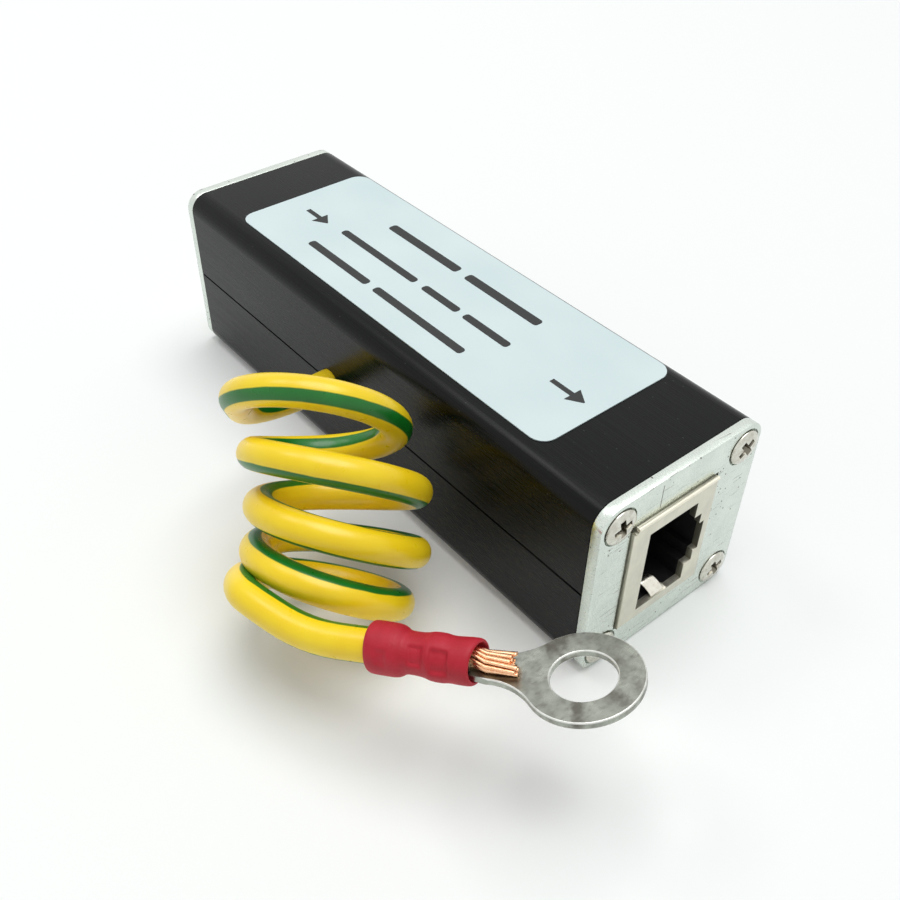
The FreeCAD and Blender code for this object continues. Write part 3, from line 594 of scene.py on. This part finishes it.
def terminalFrame():
    turn = Matrix.Rotation(math.radians(terminal["heading"]), 4, "Z")
    turn @= Matrix.Rotation(math.radians(-terminal["pitch"]), 4, "Y")
    turn @= Matrix.Rotation(math.radians(terminal["roll"]), 4, "X")
    return Matrix.Translation(Vector(terminal["place"])) @ turn


def terminalPoint(x, y, z):
    return terminalFrame() @ Vector((x, y, z))


def placeOnTerminal(x, y, z):
    # the same frame in metres, moved by a step along its own axes
    place = terminalFrame() @ Matrix.Translation((x, y, z))
    place.translation *= mm
    return place


def coilPlace(turn):
    # point of the lead's centre line, the way out of the coil there and the coil's own way down
    s = 2 * turn / coil["spanTurns"] - 1
    centre = Vector(coil["middle"]) + Vector(coil["run"]) * s + Vector(coil["bow"]) * s ** 2
    centre += Vector(coil["hook"]) * s ** 3
    radius = coil["radius"] - coil["endShrink"] * s ** 2 + coil["footGrow"] * max(s, 0) ** 4
    heading = math.radians(coil["heading"])
    lean = math.radians(coil["lean"] + coil["leanRun"] * s + coil["leanBow"] * s ** 2)
    roll = math.radians(coil["roll"] + coil["rollRun"] * s)
    level = Vector((math.cos(heading), math.sin(heading), 0))
    outward = Vector((math.sin(heading), -math.cos(heading), 0))
    high = outward * math.cos(lean) + Vector((0, 0, 1)) * math.sin(lean)
    normal = level.cross(high)
    across = level * math.cos(roll) - normal * math.sin(roll)
    angle = 2 * math.pi * turn + math.radians(coil["phase"])
    radial = high * math.sin(angle) - across * math.cos(angle)
    return centre + radial * radius, radial, across.cross(high)


def stripeAngle(turn):
    marks = coil["stripeTurns"]
    for (start, first), (end, last) in zip(marks, marks[1:]):
        if start <= turn <= end:
            share = (turn - start) / (end - start)
            return math.radians(first + (last - first) * share)


def leadRoute():
    # control points, each with the side of the lead that a stripe lies on, where the coil sets it
    route = [(Vector(point), None) for point in [leadLook["exit"], *leadLook["exitPoints"]]]
    steps = round(leadLook["lastTurn"] * leadLook["pointsPerTurn"])
    for step in range(steps + 1):
        turn = leadLook["lastTurn"] * step / steps
        point, radial, down = coilPlace(turn)
        angle = stripeAngle(turn)
        route.append((point, radial * math.cos(angle) + down * math.sin(angle)))
    route.append((Vector(leadLook["tailPoint"]), None))
    route.append((terminalPoint(terminal["sleeveEnd"], 0, terminal["barrelAxis"]), None))
    route.append((terminalPoint(terminal["barrelEnd"], 0, terminal["barrelAxis"]), None))
    return route


def stripeTilts(route, ringCount):
    # turn of the section about the lead, measured from straight up, so that a stripe lies where it should
    seam = math.pi / 2 - 2 * math.pi / ringCount
    tilts = []
    for index, (_, side) in enumerate(route):
        tilt = None
        if side is not None:
            ahead = route[min(index + 1, len(route) - 1)][0] - route[max(index - 1, 0)][0]
            ahead.normalize()
            up = (Vector((0, 0, 1)) - ahead * ahead.z).normalized()
            tilt = math.atan2(side.dot(ahead.cross(up)), side.dot(up)) + seam
            if tilts and tilts[-1] is not None:
                tilt += 2 * math.pi * round((tilts[-1] - tilt) / (2 * math.pi))
        tilts.append(tilt)
    known = [tilt for tilt in tilts if tilt is not None]
    first = tilts.index(known[0])
    return [known[0]] * first + known + [known[-1]] * (len(tilts) - first - len(known))


def makeLead():
    route = leadRoute()
    data = bpy.data.curves.new("earthLead", "CURVE")
    data.dimensions = "3D"
    data.twist_mode = "Z_UP"
    data.bevel_depth = leadLook["diameter"] / 2 * mm
    data.bevel_resolution = 10
    data.resolution_u = 6
    data.use_fill_caps = True
    line = data.splines.new("NURBS")
    line.points.add(len(route) - 1)
    tilts = stripeTilts(route, 2 * (data.bevel_resolution + 2))
    for point, (place, _), tilt in zip(line.points, route, tilts):
        point.co = (*(place * mm), 1)
        point.tilt = tilt
    line.order_u = 3
    line.use_endpoint_u = True
    lead = bpy.data.objects.new("earthLead", data)
    bpy.context.scene.collection.objects.link(lead)
    return finishPiece(lead, paints["leadVinyl"], "lead_insulation",
                       "earth_lead_outer", "earth_lead_coil", "earth_lead_tail")


# Terminal sleeve

sleeveLook = {
    "bore": 1.88,
    # distance along the barrel and outer radius, from the lead to the ring
    "outline": [
        (-21.1, 2.35), (-21.02, 2.5), (-20.8, 2.6), (-20.3, 2.64), (-19.4, 2.64), (-18.4, 2.62), (-17.9, 2.54),
        (-17.6, 2.4), (-17.3, 2.2), (-17.0, 2.12), (-16.4, 2.1), (-15.7, 2.13), (-15.1, 2.22), (-14.6, 2.36),
        (-14.0, 2.4), (-13.3, 2.38), (-12.9, 2.3), (-12.4, 2.27), (-11.8, 2.3), (-11.0, 2.33), (-10.5, 2.33),
        (-10.2, 2.28), (-10.05, 2.18), (-10.0, 2.02),
    ],
    "ringGap": 0.22,
    "sides": 72,
    "insets": (0.03, 0.02),  # how far each end turns in towards the bore
    "endCuts": 20,
    "skin": 0.08,  # only what lies this far outside the bore is crimped
    "sink": (-0.3, -0.42),  # how far its ring end sits aside and down from the barrel's line
    "sinkRun": 9,  # length from the lead over which it does so
    "slant": 0.22,  # how far the ring end runs back for each millimetre towards the front
    "slantStart": -12,
    "slantRun": 2,
    # crimp marks: from and to along the barrel, middle angle round it from straight up, half width, depth
    "crimps": [
        (-16.7, -15.0, 52, 30, 0.26), (-14.4, -12.4, 58, 34, 0.34), (-19.9, -18.6, 66, 20, 0.16),
        (-16.2, -14.3, 205, 36, 0.2),
    ],
    "crimpRise": 0.22,  # length of a crimp's slope along the barrel
    "crimpFade": 8,  # and in degrees round it
}


def upToOne(share):
    return min(1, max(0, share))


def crimpDepth(x, angle):
    deepest = 0
    for start, end, middle, half, depth in sleeveLook["crimps"]:
        aside = abs((angle - middle + 180) % 360 - 180)
        along = min(x - start, end - x) / sleeveLook["crimpRise"]
        around = (half - aside) / sleeveLook["crimpFade"]
        deepest = max(deepest, depth * upToOne(along) * upToOne(around))
    return deepest


def closeRings(outline, gap):
    # the same outline with rings no further apart than the gap
    rings = [outline[0]]
    for (start, first), (end, last) in zip(outline, outline[1:]):
        steps = max(1, math.ceil((end - start) / gap))
        for step in range(1, steps + 1):
            share = step / steps
            rings.append((start + (end - start) * share, first + (last - first) * share))
    return rings


def makeSleeve():
    outline = closeRings(sleeveLook["outline"], sleeveLook["ringGap"])
    bore = sleeveLook["bore"]
    leadInset, ringInset = sleeveLook["insets"]
    rings = [(outline[0][0] + leadInset, bore), *outline, (outline[-1][0] - ringInset, bore)]
    piece = loftAlongX("terminalSleeve", sleeveLook["sides"], rings, False)
    bpy.ops.mesh.select_all(action="DESELECT")
    bpy.ops.mesh.select_non_manifold()
    bpy.ops.mesh.bridge_edge_loops(number_cuts=sleeveLook["endCuts"])
    mesh = bmesh.from_edit_mesh(piece.data)
    aside, down = sleeveLook["sink"]
    for vertex in mesh.verts:
        x, y, z = vertex.co / mm
        radius = math.hypot(y, z)
        angle = math.degrees(math.atan2(-y, z))
        if radius > bore + sleeveLook["skin"]:
            push = crimpDepth(x, angle) / radius
            vertex.co.y -= y * push * mm
            vertex.co.z -= z * push * mm
        beyond = x - sleeveLook["slantStart"]
        if beyond > 0:
            vertex.co.x += beyond / sleeveLook["slantRun"] * sleeveLook["slant"] * y * mm
        share = upToOne((x - outline[0][0]) / sleeveLook["sinkRun"])
        vertex.co.y += aside * share * mm
        vertex.co.z += down * share * mm
    bmesh.update_edit_mesh(piece.data)
    closeUp()
    takeAlone(piece)
    applyModifier(piece, "SUBSURF", levels=1, render_levels=1)
    bpy.ops.object.shade_smooth()
    settle(piece, placeOnTerminal(0, 0, terminal["barrelAxis"]))
    return finishPiece(piece, paints["sleeveVinyl"], "sleeve_vinyl", "terminal_sleeve")


# Bare strands in the barrel

strandLook = {
    "radius": 0.205,
    "sides": 10,
    "steps": 16,
    "start": -16.8,
    "mouth": -10.4,
    "end": -6.5,
    "cutEdge": [(0.05, 0.93), (0.09, 0.7)],  # distance past the end, and share of the radius
    "evenPart": 0.75,
    "uneven": 0.55,  # how much the strands differ in length past their even part
    "rings": [(0.43, 6), (0.86, 12)],  # radius of each ring round the middle strand, and how many
    "angleSpread": 0.05,
    "reachSpread": 0.02,
    "seed": 7,
    "twist": 55,
    "splay": 0.3,
    "splayShares": (0.4, 0.6),  # at once past the mouth, and steadily to the end
    "opening": 3,  # the first third past the mouth opens out
    "flatten": 0.14,
    "aside": 0.25,
}


def makeStrands():
    length = strandLook["end"] - strandLook["start"]
    radius = strandLook["radius"]
    steps = strandLook["steps"]
    rings = [(length * step / steps, radius) for step in range(steps + 1)]
    rings += [(length + past, radius * share) for past, share in strandLook["cutEdge"]]
    first = loftAlongX("leadStrands", strandLook["sides"], rings, True)
    closeUp()
    draw = random.Random(strandLook["seed"])
    angleSpread, reachSpread, even = [strandLook[name] for name in ("angleSpread", "reachSpread", "evenPart")]
    strands = [first]
    for ringRadius, count in strandLook["rings"]:
        for number in range(count):
            angle = 2 * math.pi * number / count + draw.uniform(-angleSpread, angleSpread)
            reach = ringRadius + draw.uniform(-reachSpread, reachSpread)
            twin = copyPiece(first, f"strand{len(strands)}")
            cut = draw.uniform(-1, 1) * strandLook["uneven"]
            for vertex in twin.data.vertices:
                share = vertex.co.x / (length * mm)
                vertex.co.x += cut * max(0, share - even) / (1 - even) * mm
                vertex.co.y += reach * math.sin(angle) * mm
                vertex.co.z += reach * math.cos(angle) * mm
            strands.append(twin)
    joinAll(strands)
    applyModifier(first, "SIMPLE_DEFORM", deform_method="TWIST", deform_axis="X",
                  angle=math.radians(strandLook["twist"]))
    mouth = strandLook["mouth"] - strandLook["start"]
    bottom = -max(ring for ring, count in strandLook["rings"]) - strandLook["radius"]
    atOnce, steadily = strandLook["splayShares"]
    for vertex in first.data.vertices:
        beyond = max(0, vertex.co.x / mm - mouth) / (length - mouth)
        out = min(1, beyond * strandLook["opening"])
        vertex.co.y *= 1 + strandLook["splay"] * (atOnce * out + steadily * beyond)
        vertex.co.y -= strandLook["aside"] * out * mm
        vertex.co.z -= (vertex.co.z - bottom * mm) * strandLook["flatten"] * out
    bpy.ops.object.shade_smooth_by_angle(angle=math.radians(50))
    settle(first, placeOnTerminal(strandLook["start"], 0, terminal["barrelAxis"]))
    return finishPiece(first, paints["copperWire"], "copper", "lead_strands")


# Ring terminal

ringLook = {
    "edge": 0.13,
    "segments": 3,
    "sharp": 0.6,  # an edge that turns by more, in radians, is rounded
    "rimStart": -9.6,
    "barrelMouth": -10.5,
    "barrelCore": 1.4,
    "drawnIn": 0.84,
}


def roundRims(piece, inverse):
    # rounds the sharp edges of the flat ring and its neck, and marks the faces that this makes
    mesh = bmesh.new()
    mesh.from_mesh(piece.data)
    rims = [edge for edge in mesh.edges
            if len(edge.link_faces) == 2 and edge.calc_face_angle() > ringLook["sharp"]
            and all((inverse @ vertex.co).x > ringLook["rimStart"] * mm for vertex in edge.verts)]
    edge = mesh.faces.layers.float.new("edge")
    made = bmesh.ops.bevel(mesh, geom=rims, offset=ringLook["edge"] * mm, segments=ringLook["segments"], profile=0.5,
                           affect="EDGES", clamp_overlap=False)
    for face in made["faces"]:
        face[edge] = 1
    mesh.to_mesh(piece.data)
    mesh.free()


def makeRing():
    # the barrel is drawn in a little, where the crimped sleeve hides it
    piece = copyOfNode("ring_terminal", "ringTerminal")
    place = placeOnTerminal(0, 0, terminal["barrelAxis"])
    for vertex in piece.data.vertices:
        local = place.inverted() @ vertex.co
        x, y, z = local / mm
        if x < ringLook["barrelMouth"] and math.hypot(y, z) > ringLook["barrelCore"]:
            local.y *= ringLook["drawnIn"]
            local.z *= ringLook["drawnIn"]
            vertex.co = place @ local
    roundRims(piece, place.inverted())
    return finishPiece(piece, paints["tinnedCopper"], "tinned_copper", "ring_terminal")


# Socket shields, end plates and screws; the IN end is the OUT end turned about the housing's middle

shieldLook = {
    "edge": 0.12,
    "segments": 2,
    "proud": 0.5,  # how far the front stands out of its solid's place
    "frontStart": 41.0,
    "outer": (-7.6, 5.7, 4.55, 20.45),  # left, right, bottom and top of the front
    "near": 0.02,  # what lies this near to the outer faces is on them
    "round": 0.2,  # how far in the front's outer edges round over
    "roundSegments": 4,
    "sideways": 0.7,  # least part of a side face's direction that lies along Y
    # the solid's own finger is folded back to its foot, because makeFinger draws one in its place
    "fingerFoot": (41.3, -0.75, 6.0),
    "fingerBehind": 0.35,
    "fingerHalf": 1.25,
    "fingerSpan": (-0.05, 2),
    "fingerReach": 0.08,
    "fingerRise": 0.1,
}
rollLook = {
    "radius": 0.24,
    "sides": 24,
    "hole": 0.12,
    "holeDepth": 0.8,
    "drop": 0.12,  # of its middle below the front's top
    "run": (-7.1, 5.5),
}
fingerLook = {
    "line": [(41.5, -1.05, 5.7), (41.4, -1.08, 6.15), (40.85, -1.35, 6.85), (40.3, -1.65, 7.4), (39.9, -1.8, 7.4),
             (39.4, -1.85, 7.0)],
    "width": 2.0,
    "sheet": 0.22,
    "levels": 2,
    "edge": 0.04,
    "segments": 2,
    "angle": 50,
}
plateLook = {
    "size": 25,
    "corner": 2.5,
    "cornerSegments": 12,
    "back": 40.0,
    "thickness": 1.4,
    "edge": 0.16,
    "segments": 2,
    "windowLow": (39, -7.8, 4.35),
    "windowHigh": (43, 5.9, 20.65),
    # distance from the plate's face and radius of the bore for a screw
    "sink": [(-2, 1.35), (-1.3, 1.35), (-0.25, 2.36), (0.5, 2.36)],
}
screwLook = {
    "places": [(-9.65, 22.15, 12), (9.65, 22.15, 38), (-9.65, 2.85, 70), (9.65, 2.85, 24)],
    "face": 41.4,
    "sides": 56,
    # distance from the plate's face and radius, from inside the plate to the top of the head
    "outline": [
        (-1.3, 1.25), (-0.35, 2.08), (-0.08, 2.15), (0.1, 2.16), (0.2, 2.11), (0.28, 1.98), (0.36, 1.7), (0.43, 1.2),
        (0.46, 0.6),
    ],
    "armLength": 3.1,
    "armWidth": 0.95,
    "depth": 1.4,
    "taper": 0.42,
    "upright": 0.9,  # a face whose direction lies less than this along X is a recess wall
    "edge": 0.04,
    "segments": 2,
    "angle": 40,
}


def endTurn(side):
    middle = Vector((0, 0, middleZ * mm))
    half = Matrix.Rotation(math.pi if side == "in" else 0, 4, "Y")
    return Matrix.Translation(middle) @ half @ Matrix.Translation(-middle)


def makeShield(side):
    piece = copyOfNode("out_jack_shield", f"{side}Shield")
    foot = Vector(shieldLook["fingerFoot"])
    editAll()
    low, high = [foot.z + part for part in shieldLook["fingerSpan"]]
    selectWhere(lambda x, y, z: x < foot.x - shieldLook["fingerBehind"]
                and abs(y - foot.y) < shieldLook["fingerHalf"] and low < z < high)
    bpy.ops.transform.resize(value=(shieldLook["fingerReach"], 1, shieldLook["fingerRise"]), center_override=foot * mm)
    selectWhere(lambda x, y, z: x > shieldLook["frontStart"])
    bpy.ops.transform.translate(value=(shieldLook["proud"] * mm, 0, 0))
    left, right, bottom, top = shieldLook["outer"]
    near = shieldLook["near"]
    front = foot.x + shieldLook["proud"] - near
    selectWhere(lambda x, y, z: x > front and (min(y - left, right - y) < near or min(z - bottom, top - z) < near))
    bpy.ops.mesh.bevel(offset=shieldLook["round"] * mm, segments=shieldLook["roundSegments"], affect="EDGES")
    bpy.ops.object.mode_set(mode="OBJECT")
    soften(piece, shieldLook["edge"], shieldLook["segments"])
    # marks the side faces at the front, where the material paints shade
    markFaces(piece, "wall",
              lambda face: abs(face.normal.y) > shieldLook["sideways"] and face.center.x > foot.x * mm)
    settle(piece, endTurn(side))
    return finishPiece(piece, paints["jackSheet"], "jack_sheet", f"{side}_jack_shield")


def makeRoll(side):
    # the rolled edge along the top of the shield's front, open at its ends
    first, last = rollLook["run"]
    top = shieldLook["outer"][3]
    front = shieldLook["fingerFoot"][0] + shieldLook["proud"]
    bpy.ops.mesh.primitive_cylinder_add(
        vertices=rollLook["sides"], radius=rollLook["radius"] * mm, depth=(last - first) * mm,
        rotation=(math.pi / 2, 0, 0), location=Vector((front, (first + last) / 2, top - rollLook["drop"])) * mm)
    piece = rename(bpy.context.object, f"{side}ShieldRoll")
    bpy.ops.object.transform_apply()
    editAll()
    for end in (first, last):
        selectWhere(lambda x, y, z: abs(y - end) < samePlace)
        bpy.ops.mesh.inset(thickness=(rollLook["radius"] - rollLook["hole"]) * mm)
        inward = math.copysign(rollLook["holeDepth"], (first + last) / 2 - end)
        extrude(0, inward, 0)
    closeUp()
    bpy.ops.object.shade_smooth_by_angle(angle=math.radians(40))
    settle(piece, endTurn(side))
    # its lighter sheet is a painted highlight along the shield's top
    return finishPiece(piece, paints["litRolledSheet"], "jack_sheet")


def makeFinger(side):
    # the bright spring finger that stands in the opening, a bent strip of the shield's sheet, painted lighter than the
    # shield as a painted highlight
    start, *rest = fingerLook["line"]
    bpy.ops.mesh.primitive_plane_add(size=fingerLook["width"] * mm, location=Vector(start) * mm)
    piece = rename(bpy.context.object, f"{side}SpringFinger")
    bpy.ops.object.transform_apply()
    editAll()
    selectWhere(lambda x, y, z: x < start[0])
    bpy.ops.mesh.delete(type="VERT")
    selectWhere(lambda x, y, z: True)
    bpy.ops.transform.translate(value=(-fingerLook["width"] / 2 * mm, 0, 0))
    for before, after in zip([start, *rest], rest):
        step = (Vector(after) - Vector(before)) * mm
        bpy.ops.mesh.extrude_edges_move(TRANSFORM_OT_translate={"value": step})
    bpy.ops.object.mode_set(mode="OBJECT")
    applyModifier(piece, "SUBSURF", levels=fingerLook["levels"], render_levels=fingerLook["levels"])
    applyModifier(piece, "SOLIDIFY", thickness=fingerLook["sheet"] * mm, offset=-1)
    editAll()
    closeUp()
    soften(piece, fingerLook["edge"], fingerLook["segments"], fingerLook["angle"])
    settle(piece, endTurn(side))
    return finishPiece(piece, paints["litSpringSheet"], "jack_sheet")


def makePlate(side):
    # a rounded square, thickened, softened along its front and bored for the socket and the screws
    size = plateLook["size"]
    bpy.ops.mesh.primitive_plane_add(size=size * mm, rotation=(0, math.pi / 2, 0),
                                     location=(plateLook["back"] * mm, 0, size / 2 * mm))
    piece = rename(bpy.context.object, f"{side}EndPlate")
    bpy.ops.object.transform_apply()
    editAll()
    bpy.ops.mesh.bevel(offset=plateLook["corner"] * mm, segments=plateLook["cornerSegments"], affect="VERTICES")
    extrude(plateLook["thickness"], 0, 0)
    closeUp()
    soften(piece, plateLook["edge"], plateLook["segments"])
    for cutter in makeBores():
        takeAlone(piece)
        applyModifier(piece, "BOOLEAN", object=cutter, operation="DIFFERENCE", solver="EXACT")
        bpy.data.objects.remove(cutter)
    bpy.ops.object.shade_smooth_by_angle(angle=math.radians(30))
    settle(piece, endTurn(side))
    return finishPiece(piece, paints["bareAluminium"], "plain_aluminium", f"{side}_end_plate")


def makeBores():
    low, high = plateLook["windowLow"], plateLook["windowHigh"]
    middle = [(first + last) / 2 * mm for first, last in zip(low, high)]
    bpy.ops.mesh.primitive_cube_add(size=mm, location=middle)
    window = bpy.context.object
    window.scale = [last - first for first, last in zip(low, high)]
    bpy.ops.object.transform_apply()
    cutters = [window]
    for y, z, _ in screwLook["places"]:
        sink = loftAlongX("countersink", screwLook["sides"], plateLook["sink"], True)
        closeUp()
        settle(sink, Matrix.Translation(Vector((screwLook["face"], y, z)) * mm))
        cutters.append(sink)
    return cutters


def makeRecess():
    # two tapered bars that cross, to cut the recess with
    bars = []
    for turn in (0, 90):
        bpy.ops.mesh.primitive_cube_add(size=mm)
        bar = bpy.context.object
        bar.scale = (screwLook["depth"] * 2, screwLook["armLength"], screwLook["armWidth"])
        bpy.ops.object.transform_apply(location=False, rotation=False, scale=True)
        editAll()
        selectWhere(lambda x, y, z: x < 0)
        taper = screwLook["taper"]
        bpy.ops.transform.resize(value=(1, taper, taper), center_override=(-screwLook["depth"] * mm, 0, 0))
        bpy.ops.object.mode_set(mode="OBJECT")
        bar.rotation_euler.x = math.radians(turn)
        bpy.ops.object.transform_apply(location=False, rotation=True, scale=False)
        bars.append(bar)
    return bars


def makeScrewHead():
    head = loftAlongX("screwHead", screwLook["sides"], screwLook["outline"], True)
    closeUp()
    for bar in makeRecess():
        takeAlone(head)
        applyModifier(head, "BOOLEAN", object=bar, operation="DIFFERENCE", solver="EXACT")
        bpy.data.objects.remove(bar)
    reach = screwLook["armLength"] / 2 * mm
    # marks the recess walls, where the material paints shade
    markFaces(head, "recess", lambda face: math.hypot(face.center.y, face.center.z) < reach
              and abs(face.normal.x) < screwLook["upright"])
    return head


def makeScrews(side):
    head = makeScrewHead()
    for number, (y, z, turn) in enumerate(screwLook["places"]):
        screw = copyPiece(head, f"{side}Screw{number + 1}")
        soften(screw, screwLook["edge"], screwLook["segments"], screwLook["angle"])
        spot = Matrix.Translation(Vector((screwLook["face"], y, z)) * mm)
        settle(screw, endTurn(side) @ spot @ Matrix.Rotation(math.radians(turn), 4, "X"))
        finishPiece(screw, paints["nickelSteel"], "nickel_steel", f"{side}_plate_screws")
    bpy.data.objects.remove(head)


# Label print: plain bars where a label has its words, and an arrow at each end

printLook = {
    "top": 25.12,
    "thickness": 0.03,
    "corner": 0.45,
    "cornerSegments": 5,
    # from x, to x, middle y and height of each bar
    "bars": [
        (-15.8, -1.6, 5.0, 1.4), (0.1, 13.6, 5.0, 1.4),
        (-18.8, -3.0, -0.9, 1.15), (-1.4, 5.4, -0.9, 1.15), (6.6, 14.6, -0.9, 1.15),
        (-19.2, -6.4, -5.9, 1.2), (-4.9, 12.2, -5.9, 1.2),
    ],
    # tip x, tail x and middle y of each arrow, which points out or in
    "arrows": [(-21.9, -26.6, -1.4), (27.6, 22.4, -1.4)],
    "arrowHead": (1.9, 1.3),
    "arrowShaft": 0.35,
    "arrowPoint": 0.06,  # share of the head's width that its point keeps
}


def raisePrint(name):
    editAll()
    extrude(0, 0, printLook["thickness"])
    closeUp()
    return rename(bpy.context.object, name)


def makeBar(name, start, end, y, height):
    bpy.ops.mesh.primitive_plane_add(size=mm, location=((start + end) / 2 * mm, y * mm, printLook["top"] * mm))
    bpy.context.object.scale = (end - start, height, 1)
    bpy.ops.object.transform_apply()
    editAll()
    bpy.ops.mesh.bevel(offset=printLook["corner"] * mm, segments=printLook["cornerSegments"], affect="VERTICES")
    return raisePrint(name)


def makeArrow(name, tip, tail, y):
    # a narrow plane whose tip end is widened and drawn out to a point
    side = 1 if tip > tail else -1
    headLength, headHalf = printLook["arrowHead"]
    neck = tip - side * headLength
    half = printLook["arrowShaft"]
    bpy.ops.mesh.primitive_plane_add(size=mm, location=((neck + tail) / 2 * mm, y * mm, printLook["top"] * mm))
    bpy.context.object.scale = (abs(neck - tail), half * 2, 1)
    bpy.ops.object.transform_apply()
    editAll()
    selectWhere(lambda x, low, top: abs(x - neck) < samePlace)
    bpy.ops.mesh.extrude_edges_move(TRANSFORM_OT_translate={"value": (0, 0, 0)})
    bpy.ops.transform.resize(value=(1, headHalf / half, 1), center_override=(neck * mm, y * mm, 0))
    bpy.ops.mesh.extrude_edges_move(TRANSFORM_OT_translate={"value": (side * headLength * mm, 0, 0)})
    bpy.ops.transform.resize(value=(1, printLook["arrowPoint"], 1), center_override=(tip * mm, y * mm, 0))
    return raisePrint(name)


def makePrint():
    pieces = [makeBar(f"printBar{number}", *bar) for number, bar in enumerate(printLook["bars"], 1)]
    pieces += [makeArrow(f"printArrow{number}", *arrow) for number, arrow in enumerate(printLook["arrows"], 1)]
    finishPiece(rename(joinAll(pieces), "labelPrint"), paints["printInk"], "label_film")


addNoiseGroup()
addFleckGroup()
addEdgeHighlightGroup()
plainLooks = {
    # darker and lighter tone, roughness, metal and size of the patches
    # the rolled edge's sheet, lighter than the shield's: a painted highlight
    "litRolledSheet": ((246, 240, 220), (252, 248, 232), 0.45, 0.5, 0.5),
    # the spring finger's sheet, lighter than the shield's: a painted highlight
    "litSpringSheet": ((222, 218, 204), (240, 237, 226), 0.3, 1, 2),
    "jackPlastic": ((16, 16, 17), (26, 26, 27), 0.42, 0, 2),
    "contactGold": ((214, 170, 84), (232, 190, 106), 0.26, 1, 3),
    "boardLaminate": ((16, 84, 48), (22, 98, 56), 0.36),
    "tubeCeramic": ((226, 216, 208), (238, 230, 222), 0.4),
    "arrayPlastic": ((30, 30, 31), (40, 40, 41), 0.5, 0, 3),
    "chipCeramic": ((44, 44, 48), (66, 66, 70), 0.34, 0, 3),
    "printInk": ((8, 10, 11), (18, 20, 22), 0.6, 0, 3),
    "copperWire": ((232, 172, 128), (247, 204, 168), 0.26, 1, 4),
    "solderTin": ((190, 192, 196), (214, 216, 218), 0.25, 1, 2),
    "tieNylon": ((26, 26, 26), (36, 36, 36), 0.45, 0, 2),
    "leadPlain": ((238, 196, 20), (244, 206, 30), 0.31),
}
makers = (makeBlackAnodised, makeBareAluminium, makeNickel, makeJackSheet, makeLabelFilm, makeLeadVinyl,
          makeTinnedCopper, makeSleeveVinyl)
madePaints = [make() for make in makers] + [makePlain(name, *look) for name, look in plainLooks.items()]
paints = {paint.name: paint for paint in madePaints}
dressing = {
    "blackAnodised": ["lower_shell", "upper_shell"],
    "jackPlastic": ["out_jack_insert", "in_jack_insert"],
    "contactGold": ["out_jack_contacts", "in_jack_contacts"],
    "labelFilm": ["label"],
    "boardLaminate": ["circuit_board"],
    "tubeCeramic": ["gas_tube_1", "gas_tube_2", "gas_tube_3", "gas_tube_4"],
    "arrayPlastic": ["diode_array_1", "diode_array_2"],
    "chipCeramic": ["series_resistors"],
    "copperWire": ["earth_core"],
    "solderTin": ["earth_joint"],
    "tieNylon": ["lead_tie"],
    "leadPlain": ["earth_lead_inner"],
}
for paintName, nodeNames in dressing.items():
    for nodeName in nodeNames:
        dress(nodeName, paints[paintName])
print("materials made")

addCamera()
addSky()
addSun()
addWindow()
addFloor()
print("camera and light set")

earthLead = makeLead()
print("earth lead made")
terminalPieces = [makeSleeve(), makeStrands(), makeRing()]
print("terminal made")
for side in ("out", "in"):
    makeShield(side)
    makeRoll(side)
    makeFinger(side)
    makePlate(side)
    makeScrews(side)
print("end plates made")
makePrint()
print("label print made")

bpy.context.scene.view_settings.view_transform = "Standard"
